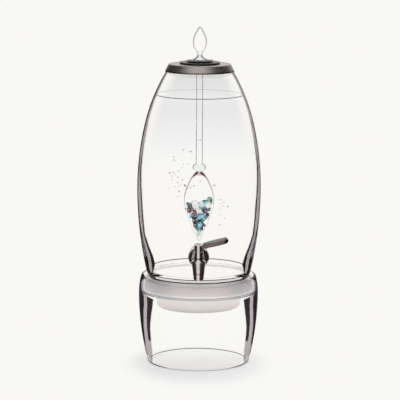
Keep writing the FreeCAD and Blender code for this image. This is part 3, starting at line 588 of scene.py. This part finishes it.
def entering_tint(tree, geometry, flat, skin, lining):
    """The tint of light where it enters the glass; it isn't tinted again where it leaves.

    A face that looks away from the axis gives it the skin's colour, and one that looks towards
    the axis the lining's. Level faces give it none.
    """
    leaving = geometry["Backfacing"]
    entering = calculate(tree, "SUBTRACT", 1.0, leaving)
    side = calculate(tree, "SUBTRACT", 1.0, calculate(tree, "MULTIPLY", leaving, 2.0))
    lean = calculate_vector(tree, "DOT_PRODUCT", flat, geometry["Normal"])
    outward = calculate(tree, "MULTIPLY", lean, side)
    looks_in = calculate(tree, "LESS_THAN", outward, -level_margin)
    looks_out = calculate(tree, "GREATER_THAN", outward, level_margin)
    inner = calculate(tree, "MULTIPLY", entering, looks_in)
    outer = calculate(tree, "MULTIPLY", looks_out, entering)
    return blend_colours(tree, outer, blend_colours(tree, inner, untinted, lining), skin)


def glass(name, stations, tones, ior=glass_ior, rings=(), rings_behind=False, inner_rings=(),
          pale_below=None, speckled=None, lid_shade=(), shade=()):
    """Clear glass whose round wall shows a painted dark streak, light band and inner streak.

    The streaks are painted refraction and shade: they stand in for how the wall bends and
    darkens the light near its outline. stations give, by height, how wide the outer streak is,
    and where the inner one starts and ends. tones are the outline's, which may be a list of
    stops by height, the band's, the inner streak's and the paler tone that fades out inside it.
    rings are (low, high, tone) on the outer surface, over the streaks or behind them, and
    inner_rings the same inside; they are painted lines and shade. pale_below is the height and
    tone of a paler inner streak, and speckled the two heights and the tone of specks in the
    outline. veil is a painted shade, a faint grey away from the outline, and shade a painted
    shade towards it, from stops of (height, level). All lengths are in mm.
    """
    outline, band, inner, pale = tones
    material, tree, shader = new_material(name)
    make_clear(tree, shader, ior)
    point = object_point(tree)
    z = split(tree, point)["Z"]
    geometry = add_node(tree, "ShaderNodeNewGeometry").outputs
    flat = calculate_vector(tree, "MULTIPLY", point, (1, 1, 0))

    flow = noise_of(tree, point, scale=90.0, detail=3.0, roughness=0.55, distortion=0.4)
    wobble = ranged(tree, flow, -streak_wobble, streak_wobble)
    inward = calculate(tree, "ADD", edge_distance(tree, geometry["Normal"], flat), wobble)
    outer_end, inner_start, inner_end = widths_by_height(tree, z, stations)
    if isinstance(outline, list):
        outline = by_height(tree, z, outline)
    if speckled:
        outline = with_specks(tree, point, z, outline, *speckled)
    if pale_below:
        inner = with_pale_foot(tree, z, inner, *pale_below)

    skin = untinted
    # Painted shade: a faint grey away from the outline, and a grey towards it
    if lid_shade:
        skin = blend_colours(tree, smooth_step(tree, inward, *lid_shade_reach), skin,
                             greys_by_height(tree, z, lid_shade))
    if shade:
        skin = blend_colours(tree, smooth_step(tree, inward, *shade_reach),
                             greys_by_height(tree, z, shade), skin)
    halo_end = calculate(tree, "ADD", inner_end, halo_width)
    skin = blend_colours(tree, smooth_step(tree, inward, inner_end, halo_end), pale, skin)
    if rings_behind:
        skin = with_rings(tree, z, rings, ring_softness_mm, skin)
    for end, tone in ((inner_end, inner), (inner_start, band), (outer_end, outline)):
        beyond = smooth_step(tree, inward, calculate(tree, "SUBTRACT", end, streak_softness),
                             calculate(tree, "ADD", end, streak_softness))
        skin = blend_colours(tree, beyond, tone, skin)
    if not rings_behind:
        skin = with_rings(tree, z, rings, ring_softness_mm, skin)
    lining = with_rings(tree, z, inner_rings, inner_ring_softness_mm, untinted)
    set_inputs(tree, shader, Base_Color=entering_tint(tree, geometry, flat, skin, lining))
    return material, tree, shader


def vessel_glass():
    """The vessel's glass; its thick floor mirrors its surroundings where it is seen aslant."""
    stations = (
        (140, 26, 26, 26), (144, 31, 31, 31), (147, 31, 31, 31), (148.5, 23, 23, 23),
        (150, 12, 12, 12), (153, 7.4, 9.6, 10), (161, 6.8, 11, 13.5), (173, 7.6, 12.5, 18.2),
        (186, 7.4, 12.4, 17.2), (203, 5.5, 9.2, 12.6), (220, 3.5, 6.5, 9.0),
        (240, 2.2, 6.5, 8.8), (270, 1.7, 6.4, 8.4), (330, 0.8, 3.4, 5.3), (352, 1.0, 4.0, 5.0),
        (385, 1.5, 4.6, 4.6), (437, 1.3, 2.8, 2.8), (484, 1.1, 2.4, 2.4),
    )
    tones = (seen_as(30, 26, 29), seen_as(170, 161, 164), seen_as(34, 29, 32),
             seen_as(222, 218, 219))
    # Painted rings: shade under the base, a pale line above it, and the floor's edge as the glass
    # bends it into view in front and, inside, behind
    rings = ((143.0, 147.0, seen_as(60, 54, 64)), (147.8, 149.6, seen_as(216, 210, 210)),
             (150.9, 152.1, seen_as(104, 95, 93)))
    inner_rings = ((157.9, 159.2, seen_as(122, 114, 116)),)
    # Painted shade, greyer towards the lid
    lid_shade = ((318, 255), (334, 252), (351, 247.5), (372, 243.5), (399, 239), (432, 233),
            (447, 236), (466, 228), (476, 225), (484, 223))
    # The outline's specks are painted refraction too
    material, tree, shader = glass("vessel_glass", stations, tones, rings=rings,
                                   inner_rings=inner_rings, lid_shade=lid_shade,
                                   speckled=(178, 214, seen_as(170, 166, 170)))
    floor = floor_height() * mm_per_m
    low, high = floor_layer_mm
    level = calculate(tree, "GREATER_THAN", upward_lean(tree), floor_levelness)
    layer = between(tree, height_of(tree), floor + low, floor + high, floor_layer_softness_mm)
    aslant = smooth_step(tree, facing_away(tree), *floor_aslant)
    mirror = calculate(tree, "MULTIPLY", calculate(tree, "MULTIPLY", level, layer), aslant)
    set_inputs(tree, shader, Metallic=mirror,
               Roughness=calculate(tree, "MULTIPLY", mirror, floor_roughness))
    return material


def stand_glass():
    """The stand's glass with painted refraction: wide dark streaks, fine painted lines at its
    ledge and foot, and painted shade on its upper wall.
    """
    stations = (
        (0, 38, 38, 38), (1.4, 28, 28, 28), (3.0, 2.2, 6.0, 7.0), (12, 2.2, 8.0, 10.0),
        (27, 2.4, 9, 12.4), (36, 3.6, 9, 13.2), (69, 5.2, 10.5, 15.8), (103, 8.2, 13.2, 22),
        (116, 8.0, 13.2, 23.5), (118, 7.4, 13, 14), (119.7, 5.4, 8, 8), (120.5, 46, 46, 46),
        (121.3, 5.4, 8, 8), (122.3, 5.4, 8, 8), (123.0, 42, 42, 42), (123.7, 5.2, 8, 8),
        (135, 3, 6, 6), (147, 1.4, 3, 3),
    )
    outline = [
        (0, seen_as(72, 69, 70)), (1.6, seen_as(84, 80, 82)), (3.4, seen_as(132, 128, 128)),
        (24, seen_as(150, 146, 146)), (34, seen_as(60, 55, 58)), (50, seen_as(34, 30, 34)),
        (118, seen_as(40, 36, 40)), (126, seen_as(62, 62, 78)), (147, seen_as(78, 80, 98)),
    ]
    tones = (outline, seen_as(184, 174, 178), seen_as(52, 46, 48), seen_as(226, 222, 222))
    line = seen_as(166, 161, 164)
    # Painted lines at the foot's edge and the ledge's edges; inside, the foot's inner edge
    rings = ((-1, 0.5, seen_as(138, 134, 134)), (122.6, 123.1, line), (120.4, 120.8, line))
    inner_rings = ((5.2, 6.2, seen_as(84, 80, 82)),)
    # Painted shade towards the outline, above the ledge
    shade = ((118, 255), (121, 219), (134, 217), (147, 213))
    return glass("stand_glass", stations, tones, rings=rings, rings_behind=True,
                 inner_rings=inner_rings, pale_below=(43, seen_as(176, 172, 172)), shade=shade)[0]


def vial_glass():
    """The vial's glass with painted refraction: a fine outline, painted shade under the knob, and
    a foot whitened as painted reflection.
    """
    stations = (
        (200, 0.7, 0.7, 0.7), (300, 0.9, 0.9, 0.9), (308.5, 1.1, 1.1, 1.1),
        (312, 3.8, 3.8, 3.8), (316.5, 5.8, 5.8, 5.8), (318, 1.5, 1.5, 1.5),
        (332, 1.1, 1.1, 1.1), (334, 0.9, 0.9, 0.9), (500, 0.9, 0.9, 0.9),
        (503, 2.1, 2.1, 2.1), (560, 2.1, 2.1, 2.1),
    )
    grey = seen_as(118, 114, 116)
    lilac = seen_as(188, 185, 192)
    brown = seen_as(96, 62, 72)
    outline = [
        (200, seen_as(176, 160, 178)), (250, seen_as(160, 138, 150)),
        (290, seen_as(150, 122, 132)), (306, seen_as(136, 104, 114)), (312, brown),
        (317, brown), (318.5, seen_as(140, 140, 136)), (332, grey), (500, grey),
        (503, lilac), (560, lilac),
    ]
    tones = (outline, untinted, untinted, seen_as(232, 230, 234))
    # Painted rings: a warm shade between bulb and knob, the knob's faint grey fill, and a fine
    # line at its lower edge
    rings = ((312.5, 316.5, seen_as(214, 192, 188)), (320.5, 330.0, seen_as(237, 239, 234)),
             (318.4, 318.9, seen_as(168, 170, 164)))
    material, tree, shader = glass("vial_glass", stations, tones, ior=vial_ior, rings=rings,
                                   rings_behind=True)
    # Painted reflection: the foot is made less clear, so it shows white
    foot = between(tree, height_of(tree), *vial_foot_mm, vial_foot_softness_mm)
    painted_reflection = calculate(tree, "MULTIPLY", foot, vial_foot_painted_reflection)
    set_inputs(tree, shader, Transmission_Weight=calculate(tree, "SUBTRACT", 1.0, painted_reflection))
    return material


def water_material():
    """Clear water with a painted line where its surface meets the glass, darker in front; it
    stands in for the light bent at the water's edge.
    """
    material, tree, shader = new_material("still_water")
    point = object_point(tree)
    z = split(tree, point)["Z"]
    edge = between(tree, z, (water_level - waterline_depth) * mm_per_m, water_level * mm_per_m,
                   waterline_softness_mm)
    upright = calculate(tree, "LESS_THAN", calculate(tree, "ABSOLUTE", upward_lean(tree)),
                        steepest_surface)
    behind = add_node(tree, "ShaderNodeNewGeometry").outputs["Backfacing"]
    # Painted waterline tone, darker where the water's edge is seen in front
    tone = blend_colours(tree, behind, seen_as(92, 90, 92), seen_as(208, 208, 208))
    line = calculate(tree, "MULTIPLY", edge, upright)
    make_clear(tree, shader, water_ior)
    set_inputs(tree, shader, Base_Color=blend_colours(tree, line, water_colour, tone))
    on_top = calculate(tree, "GREATER_THAN", z, water_level - ripple_depth)
    ripple = calculate(tree, "MULTIPLY", noise_of(tree, point, scale=30.0, detail=2.0), on_top)
    bumped(tree, shader, ripple, strength=0.2, distance=0.0004)
    return material


def bubble_material():
    """Small bubbles whose faint grey rings are painted, standing in for light bent at their edges.
    """
    material, tree, shader = new_material("air_bubble")
    rim = blend_colours(tree, noise_of(tree, object_point(tree), scale=300.0),
                        seen_as(154, 155, 163), seen_as(220, 220, 225))
    ringed = blend_colours(tree, smooth_step(tree, facing_away(tree), start=0.05, end=0.35),
                           seen_as(224, 224, 228), rim)
    make_clear(tree, shader, bubble_ior)
    set_inputs(tree, shader, Base_Color=ringed)
    return material


# Metal

def polished_steel(name, tones, roughness, dimpling=0.0):
    """Mirror-polished metal with faint smears, fine hairlines and, on a casting, dimples."""
    material, tree, shader = new_material(name)
    point = object_point(tree)
    smears = noise_of(tree, point, scale=110.0, detail=5.0, roughness=0.6, distortion=0.6)
    least, most = [roughness * share for share in smear_shares]
    set_inputs(tree, shader, Metallic=1.0,
               Base_Color=mottled(tree, noise_of(tree, point, scale=60.0, detail=4.0), *tones),
               Roughness=ranged(tree, smears, least, most))
    bumped(tree, shader, noise_of(tree, point, scale=1400.0, detail=1.0), strength=0.03,
           distance=0.0001)
    if dimpling:
        dimples = noise_of(tree, point, scale=240.0, detail=3.0, roughness=0.6)
        bumped(tree, shader, dimples, strength=dimpling, distance=0.001)
    return material, tree, shader


def lever_steel():
    """A bright hub and a paddle painted darker, as painted dark reflection on the same steel."""
    material, tree, shader = polished_steel("dark_reflection_steel", dark_reflection_steel, roughness=0.10)
    painted_dark_reflection = shader.inputs["Base Color"].links[0].from_socket
    paddle = smooth_step(tree, split(tree, object_point(tree))["X"], *hub_edge)
    set_inputs(tree, shader, Base_Color=blend_colours(tree, paddle, hub_colour, painted_dark_reflection))
    return material


def tap_steel():
    """Cast steel with painted shade in the groove above the spout, fainter at a step lower down,
    and a softer sheen just below the groove.
    """
    material, tree, shader = polished_steel("cast_steel", bright_steel, roughness=0.07,
                                            dimpling=0.12)
    cast = shader.inputs["Base Color"].links[0].from_socket
    polish = shader.inputs["Roughness"].links[0].from_socket
    z = height_of(tree)
    # Painted shade: a dark ring at the groove and a fainter one at the step
    step = calculate(tree, "MULTIPLY", between(tree, z, *spout_step, step_softness), step_share)
    groove_shade = calculate(tree, "MAXIMUM", between(tree, z, *spout_groove, groove_softness), step)
    soft = calculate(tree, "MULTIPLY", between(tree, z, *spout_sheen, sheen_softness),
                     sheen_roughness)
    set_inputs(tree, shader, Base_Color=blend_colours(tree, groove_shade, cast, groove_shade_colour),
               Roughness=calculate(tree, "ADD", polish, soft))
    return material


def round_the_axis(tree):
    """Coordinates for circular brushing: radius, a slow turn, and height."""
    x, y, z = split(tree, object_point(tree))
    squares = [calculate(tree, "MULTIPLY", side, side) for side in (x, y)]
    radius = calculate(tree, "SQRT", calculate(tree, "ADD", *squares))
    turn = calculate(tree, "MULTIPLY", calculate(tree, "ARCTAN2", y, x), brushing_turn)
    return add_node(tree, "ShaderNodeCombineXYZ", X=radius, Y=turn, Z=z).outputs["Vector"]


def brushed_steel():
    """Steel brushed in circles, much darker in a narrow band at its foot."""
    material, tree, shader = new_material("brushed_lid_steel")
    brushing = noise_of(tree, round_the_axis(tree), scale=2600.0, detail=3.0, roughness=0.6)
    start, end = [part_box("lid_shell")[0][2] + height for height in lid_foot_band]
    darker_foot = smooth_step(tree, height_of(tree), start, end)
    tone = blend_colours(tree, darker_foot, lid_foot_band_colour, mottled(tree, brushing, *lid_steel))
    tangent = add_node(tree, "ShaderNodeTangent", direction_type="RADIAL", axis="Z")
    set_inputs(tree, shader, Base_Color=tone, Metallic=1.0,
               Roughness=ranged(tree, brushing, low=0.22, high=0.42), Anisotropic=0.6,
               Tangent=tangent.outputs["Tangent"])
    bumped(tree, shader, brushing, strength=0.08, distance=0.0001)
    return material


# Plastic, rubber and stone

def frosted():
    """Milky satin moulding with painted light and shade: a paler bowl darker at its foot, a band
    that greys upwards, and a painted highlight on its lower lip.
    """
    material, tree, shader = new_material("frosted_moulding")
    point = object_point(tree)
    low, high = [corner[2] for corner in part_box("seat_bowl")]
    share = calculate(tree, "DIVIDE", calculate(tree, "SUBTRACT", split(tree, point)["Z"], low),
                      high - low)
    cloud = mottled(tree, noise_of(tree, point, scale=9.0, detail=4.0, roughness=0.55),
                    *seat_cloud)
    tone = blend_colours(tree, 1.0, ramp(tree, share, seat_light_and_shade), cloud, mode="MULTIPLY")
    set_inputs(tree, shader, Base_Color=tone, Roughness=0.42, IOR=seat_ior,
               Specular_IOR_Level=0.25, Subsurface_Weight=0.1, Subsurface_Scale=0.004,
               Transmission_Weight=ramp(tree, share, seat_glow))
    bumped(tree, shader, noise_of(tree, point, scale=900.0, detail=2.0), strength=0.12,
           distance=0.0002)
    return material


def moulded(name, colour, roughness, grain_scale):
    """Moulded plastic or rubber with a fine grain."""
    material, tree, shader = new_material(name)
    point = object_point(tree)
    cloud = noise_of(tree, point, scale=40.0, detail=4.0)
    darker = tuple(darker_share * part for part in colour)
    set_inputs(tree, shader, Base_Color=mottled(tree, cloud, darker, colour),
               Roughness=ranged(tree, cloud, roughness * darker_share,
                                roughness * rougher_share))
    bumped(tree, shader, noise_of(tree, point, grain_scale, detail=2.0), strength=0.1,
           distance=0.0002)
    return material


def silicone(name, clarity, roughness, ior):
    """Soft milky or clear rubber with a fine grain."""
    material, tree, shader = new_material(name)
    point = object_point(tree)
    cloud = noise_of(tree, point, scale=50.0, detail=3.0)
    set_inputs(tree, shader, Roughness=roughness, Transmission_Weight=clarity, IOR=ior,
               Base_Color=mottled(tree, cloud, *milky_tones))
    bumped(tree, shader, noise_of(tree, point, scale=700.0), strength=0.08, distance=0.0002)
    return material


def clear_moulding():
    """Clear plastic with a faint cloudiness."""
    material, tree, shader = new_material("clear_moulding")
    cloud = noise_of(tree, object_point(tree), scale=60.0, detail=3.0)
    make_clear(tree, shader, unseen_ior)
    set_inputs(tree, shader, Base_Color=mottled(tree, cloud, *clear_tones))
    return material


def stone_material(name, dark, light, vein, clarity):
    """A tumbled stone: cloudy colour, thin veins, painted white glints that stand in for
    highlights, and fine pits in its polish.
    """
    material, tree, shader = new_material(name)
    point = object_point(tree)
    cloud = noise_of(tree, point, scale=170.0, detail=5.0, roughness=0.6, distortion=0.8)
    base = ramp(tree, cloud, list(zip(stone_stops, (dark, light, light, vein))))
    glint_noise = noise_of(tree, point, scale=380.0, detail=2.0, distortion=0.3)
    tone = blend_colours(tree, smooth_step(tree, glint_noise, start=0.60, end=0.64), base, glint_colour)
    set_inputs(tree, shader, Base_Color=tone, Roughness=ranged(tree, cloud, low=0.10, high=0.28),
               Transmission_Weight=clarity, IOR=stone_ior, Coat_Weight=0.5, Coat_Roughness=0.08)
    bumped(tree, shader, noise_of(tree, point, scale=600.0, detail=3.0), strength=0.15,
           distance=0.0003)
    return material


# Pieces

def dress(material, *names):
    """Gives CAD nodes a material, in every slot that they have."""
    for name in names:
        mesh = nodes[name].data
        if not mesh.materials:
            mesh.materials.append(material)
        for index in range(len(mesh.materials)):
            mesh.materials[index] = material


def new_piece(name, mesh, material, body):
    """A piece that rides on a body, with its material."""
    mesh.materials.append(material)
    piece = bpy.data.objects.new(name, mesh)
    bpy.context.scene.collection.objects.link(piece)
    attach(piece, body)
    return piece


def dress_all():
    """Gives every CAD node that shows its material."""
    dress(vessel_glass(), "glass_vessel")
    dress(stand_glass(), "stand_ring")
    dress(vial_glass(), "gem_vial")
    dress(frosted(), "seat_bowl")
    dress(polished_steel("polished_steel", bright_steel, roughness=0.08)[0],
          "lever_screw", "lock_nut", "clamp_washer")
    dress(tap_steel(), "tap_body")
    dress(polished_steel("cast_flange_steel", flange_steel, roughness=0.08, dimpling=1.0)[0],
          "tap_flange")
    dress(lever_steel(), "lever_handle")
    dress(polished_steel("machined_brass", brass, roughness=0.2)[0], "gland_nut", "valve_plug")
    dress(silicone("milky_silicone", clarity=0.6, roughness=0.35, ior=silicone_ior),
          "outer_washer", "inner_washer")
    dress(silicone("clear_silicone", clarity=1.0, roughness=0.0, ior=unseen_ior), "lid_gasket")
    dress(moulded("black_rubber_skin", rubber_black, roughness=0.55, grain_scale=700.0),
          "plug_o_rings", "stopper_o_ring")
    dress(moulded("white_slip_plastic", slip_white, roughness=0.4, grain_scale=500.0),
          "thrust_washer")
    dress(brushed_steel(), "lid_shell")
    dress(clear_moulding(), "lid_collar")
    dress(moulded("black_satin_plastic", satin_black, roughness=0.35, grain_scale=450.0),
          "hole_sleeve", "stopper")


# Water

def lathe(name, outline):
    """A closed form turned about Z from an outline of (radius, height), axis to axis."""
    grid = bmesh.new()
    rings = []
    for radius, z in outline:
        if radius < axis_radius:
            rings.append([grid.verts.new((0, 0, z))])
            continue
        turns = [2 * math.pi * i / lathe_steps for i in range(lathe_steps)]
        rings.append([grid.verts.new((radius * math.cos(turn), radius * math.sin(turn), z))
                      for turn in turns])
    for low, high in zip(rings, rings[1:]):
        for i in range(lathe_steps):
            j = (i + 1) % lathe_steps
            if len(low) == 1:
                grid.faces.new((low[0], high[j], high[i]))
            elif len(high) == 1:
                grid.faces.new((low[i], low[j], high[0]))
            else:
                grid.faces.new((low[i], low[j], high[j], high[i]))
    bmesh.ops.recalc_face_normals(grid, faces=grid.faces)
    mesh = bpy.data.meshes.new(name)
    grid.to_mesh(mesh)
    grid.free()
    mesh.shade_smooth()
    return mesh


def inner_radius(name, z):
    """A hollow node's inner radius at a height, measured on the side away from the tap."""
    hit, place = nodes[name].ray_cast((0, 0, z), (0, 1, 0))[:2]
    return place.y if hit else 0.0


def floor_height():
    """The height of the vessel's floor at its middle."""
    return nodes["glass_vessel"].ray_cast((0, 0, water_level), (0, 0, -1))[1].z


def make_water():
    """The water, from the vessel's floor to a raised edge where it climbs the glass."""
    bottom = floor_height() + water_wall_gap
    wall = []
    for i in range(water_rings + 1):
        z = bottom + (water_level - bottom) * (i / water_rings) ** ring_spacing_power
        if i == 0:
            z += bottom_lift
        wall.append((inner_radius("glass_vessel", z) - water_wall_gap, z))
    top_radius = wall[-1][0]
    crest_height = water_level + meniscus_height
    crest = (inner_radius("glass_vessel", crest_height) - water_wall_gap, crest_height)
    meniscus = []
    for i in range(1, meniscus_steps + 1):
        share = i / meniscus_steps
        meniscus.append((top_radius - meniscus_width * share,
                         water_level + meniscus_height * (1 - share) ** meniscus_power))
    level_part = [(0, bottom)] + [(wall[0][0] - inset, bottom) for inset in bottom_insets]
    outline = level_part + wall + [crest] + meniscus + [(0, water_level)]
    new_piece("water", lathe("water", outline), water_material(), "vessel")


def make_bubbles():
    """Fine bubbles that hang in the water in a loose spiral round the vial."""
    chance = random.Random(bubble_seed)
    group = bmesh.new()
    made = 0
    while made < bubble_count:
        z = chance.triangular(*bubble_heights)
        turn = chance.uniform(0, 2 * math.pi)
        reach = chance.triangular(*bubble_reaches)
        radius = chance.triangular(*bubble_radii)
        off = turn - math.pi - bubble_turning * (bubble_left - z)
        if chance.random() > (0.5 + 0.5 * math.cos(off)) ** 2:
            continue
        place = Matrix.Translation((reach * math.cos(turn), reach * math.sin(turn), z))
        shape = Matrix.Diagonal((radius * chance.uniform(*bubble_lengths), radius,
                                 radius * chance.uniform(*bubble_depths), 1))
        bmesh.ops.create_icosphere(group, subdivisions=2, radius=1.0, matrix=place @ shape)
        made += 1
    mesh = bpy.data.meshes.new("water_bubbles")
    group.to_mesh(mesh)
    group.free()
    mesh.shade_smooth()
    new_piece("water_bubbles", mesh, bubble_material(), "vessel")


# Stones

def stone_points(node):
    """The corners of each stone in a CAD group of stones."""
    shell = bmesh.new()
    shell.from_mesh(nodes[node].data)
    bmesh.ops.remove_doubles(shell, verts=shell.verts, dist=same_corner)
    left = set(shell.verts)
    stones = []
    while left:
        stack = [min(left, key=lambda vertex: vertex.index)]
        left.discard(stack[0])
        found = []
        while stack:
            vertex = stack.pop()
            found.append(vertex.co.copy())
            for edge in vertex.link_edges:
                other = edge.other_vert(vertex)
                if other in left:
                    left.discard(other)
                    stack.append(other)
        stones.append(found)
    shell.free()
    return sorted(stones, key=lambda corners: (corners[0].z, corners[0].x))


def keep_inside(stone):
    """Presses a stone's corners back to the inside of the vial's wall."""
    for vertex in stone.verts:
        room = inner_radius("gem_vial", vertex.co.z) - stone_wall_gap
        reach = vertex.co.xy.length
        if reach > room > 0:
            vertex.co.x *= room / reach
            vertex.co.y *= room / reach


def put_in_order(items, place):
    """Sorts a mesh's corners or faces by place, because a hull gives them in any order."""
    ranks = {item: rank for rank, item in enumerate(sorted(items, key=place))}
    items.sort(key=ranks.get)


def tumbled(corners, seed):
    """A faceted chip with softened edges, grown from one CAD stone's corners."""
    middle = sum(corners, Vector()) / len(corners)
    chance = random.Random(seed)
    turn = Euler([chance.uniform(0, math.pi) for axis in range(3)]).to_matrix()
    growth = Matrix.Diagonal([stone_growth * share for share in chip_shares])
    stretch = turn @ growth @ turn.transposed()
    stone = bmesh.new()
    for corner in chance.sample(corners, min(chip_corners, len(corners))):
        stone.verts.new(middle + stretch @ (corner - middle))
    hull = bmesh.ops.convex_hull(stone, input=stone.verts)
    loose = [item for item in hull["geom_interior"] if isinstance(item, bmesh.types.BMVert)]
    bmesh.ops.delete(stone, geom=loose, context="VERTS")
    bmesh.ops.dissolve_limit(stone, angle_limit=flattest_edge, verts=stone.verts,
                             edges=stone.edges)
    size = max((vertex.co - middle).length for vertex in stone.verts)
    bmesh.ops.bevel(stone, geom=list(stone.edges), offset=chip_bevel * size, segments=2,
                    profile=bevel_profile, affect="EDGES", clamp_overlap=True)
    bmesh.ops.triangulate(stone, faces=stone.faces)
    bmesh.ops.subdivide_edges(stone, edges=stone.edges, cuts=1, use_grid_fill=True)
    for vertex in stone.verts:
        out = (vertex.co - middle).normalized()
        swell = noise.noise(vertex.co * swell_scale + Vector((seed, 0, 0)))
        vertex.co += out * swell * swell_share * size
    keep_inside(stone)
    put_in_order(stone.verts, lambda vertex: vertex.co[:])
    put_in_order(stone.faces, lambda face: face.calc_center_median()[:])
    return stone


def make_stones():
    """One piece of tumbled chips for each colour, in place of the CAD's plain stones."""
    for seed, (node, (dark, light, vein, clarity)) in enumerate(stone_tones.items()):
        group = bmesh.new()
        for number, corners in enumerate(stone_points(node)):
            stone = tumbled(corners, seed * stone_seeds + number)
            single = bpy.data.meshes.new("one_stone")
            stone.to_mesh(single)
            stone.free()
            group.from_mesh(single)
            bpy.data.meshes.remove(single)
        mesh = bpy.data.meshes.new(node + "_stones")
        bmesh.ops.recalc_face_normals(group, faces=group.faces)
        group.to_mesh(mesh)
        group.free()
        material = stone_material(node + "_stone", dark, light, vein, clarity)
        piece = new_piece(node + "_stones", mesh, material, "vial")
        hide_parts(node)


# The scene

scene = bpy.context.scene
scene.view_settings.view_transform = "Standard"
scene.cycles.max_bounces = light_bounces
scene.cycles.transmission_bounces = light_bounces
scene.cycles.transparent_max_bounces = light_bounces
scene.cycles.glossy_bounces = glossy_bounces
scene.cycles.blur_glossy = 0.0

make_camera()
make_world()
make_floor()
make_screen()
dress_all()
make_water()
make_bubbles()
make_stones()
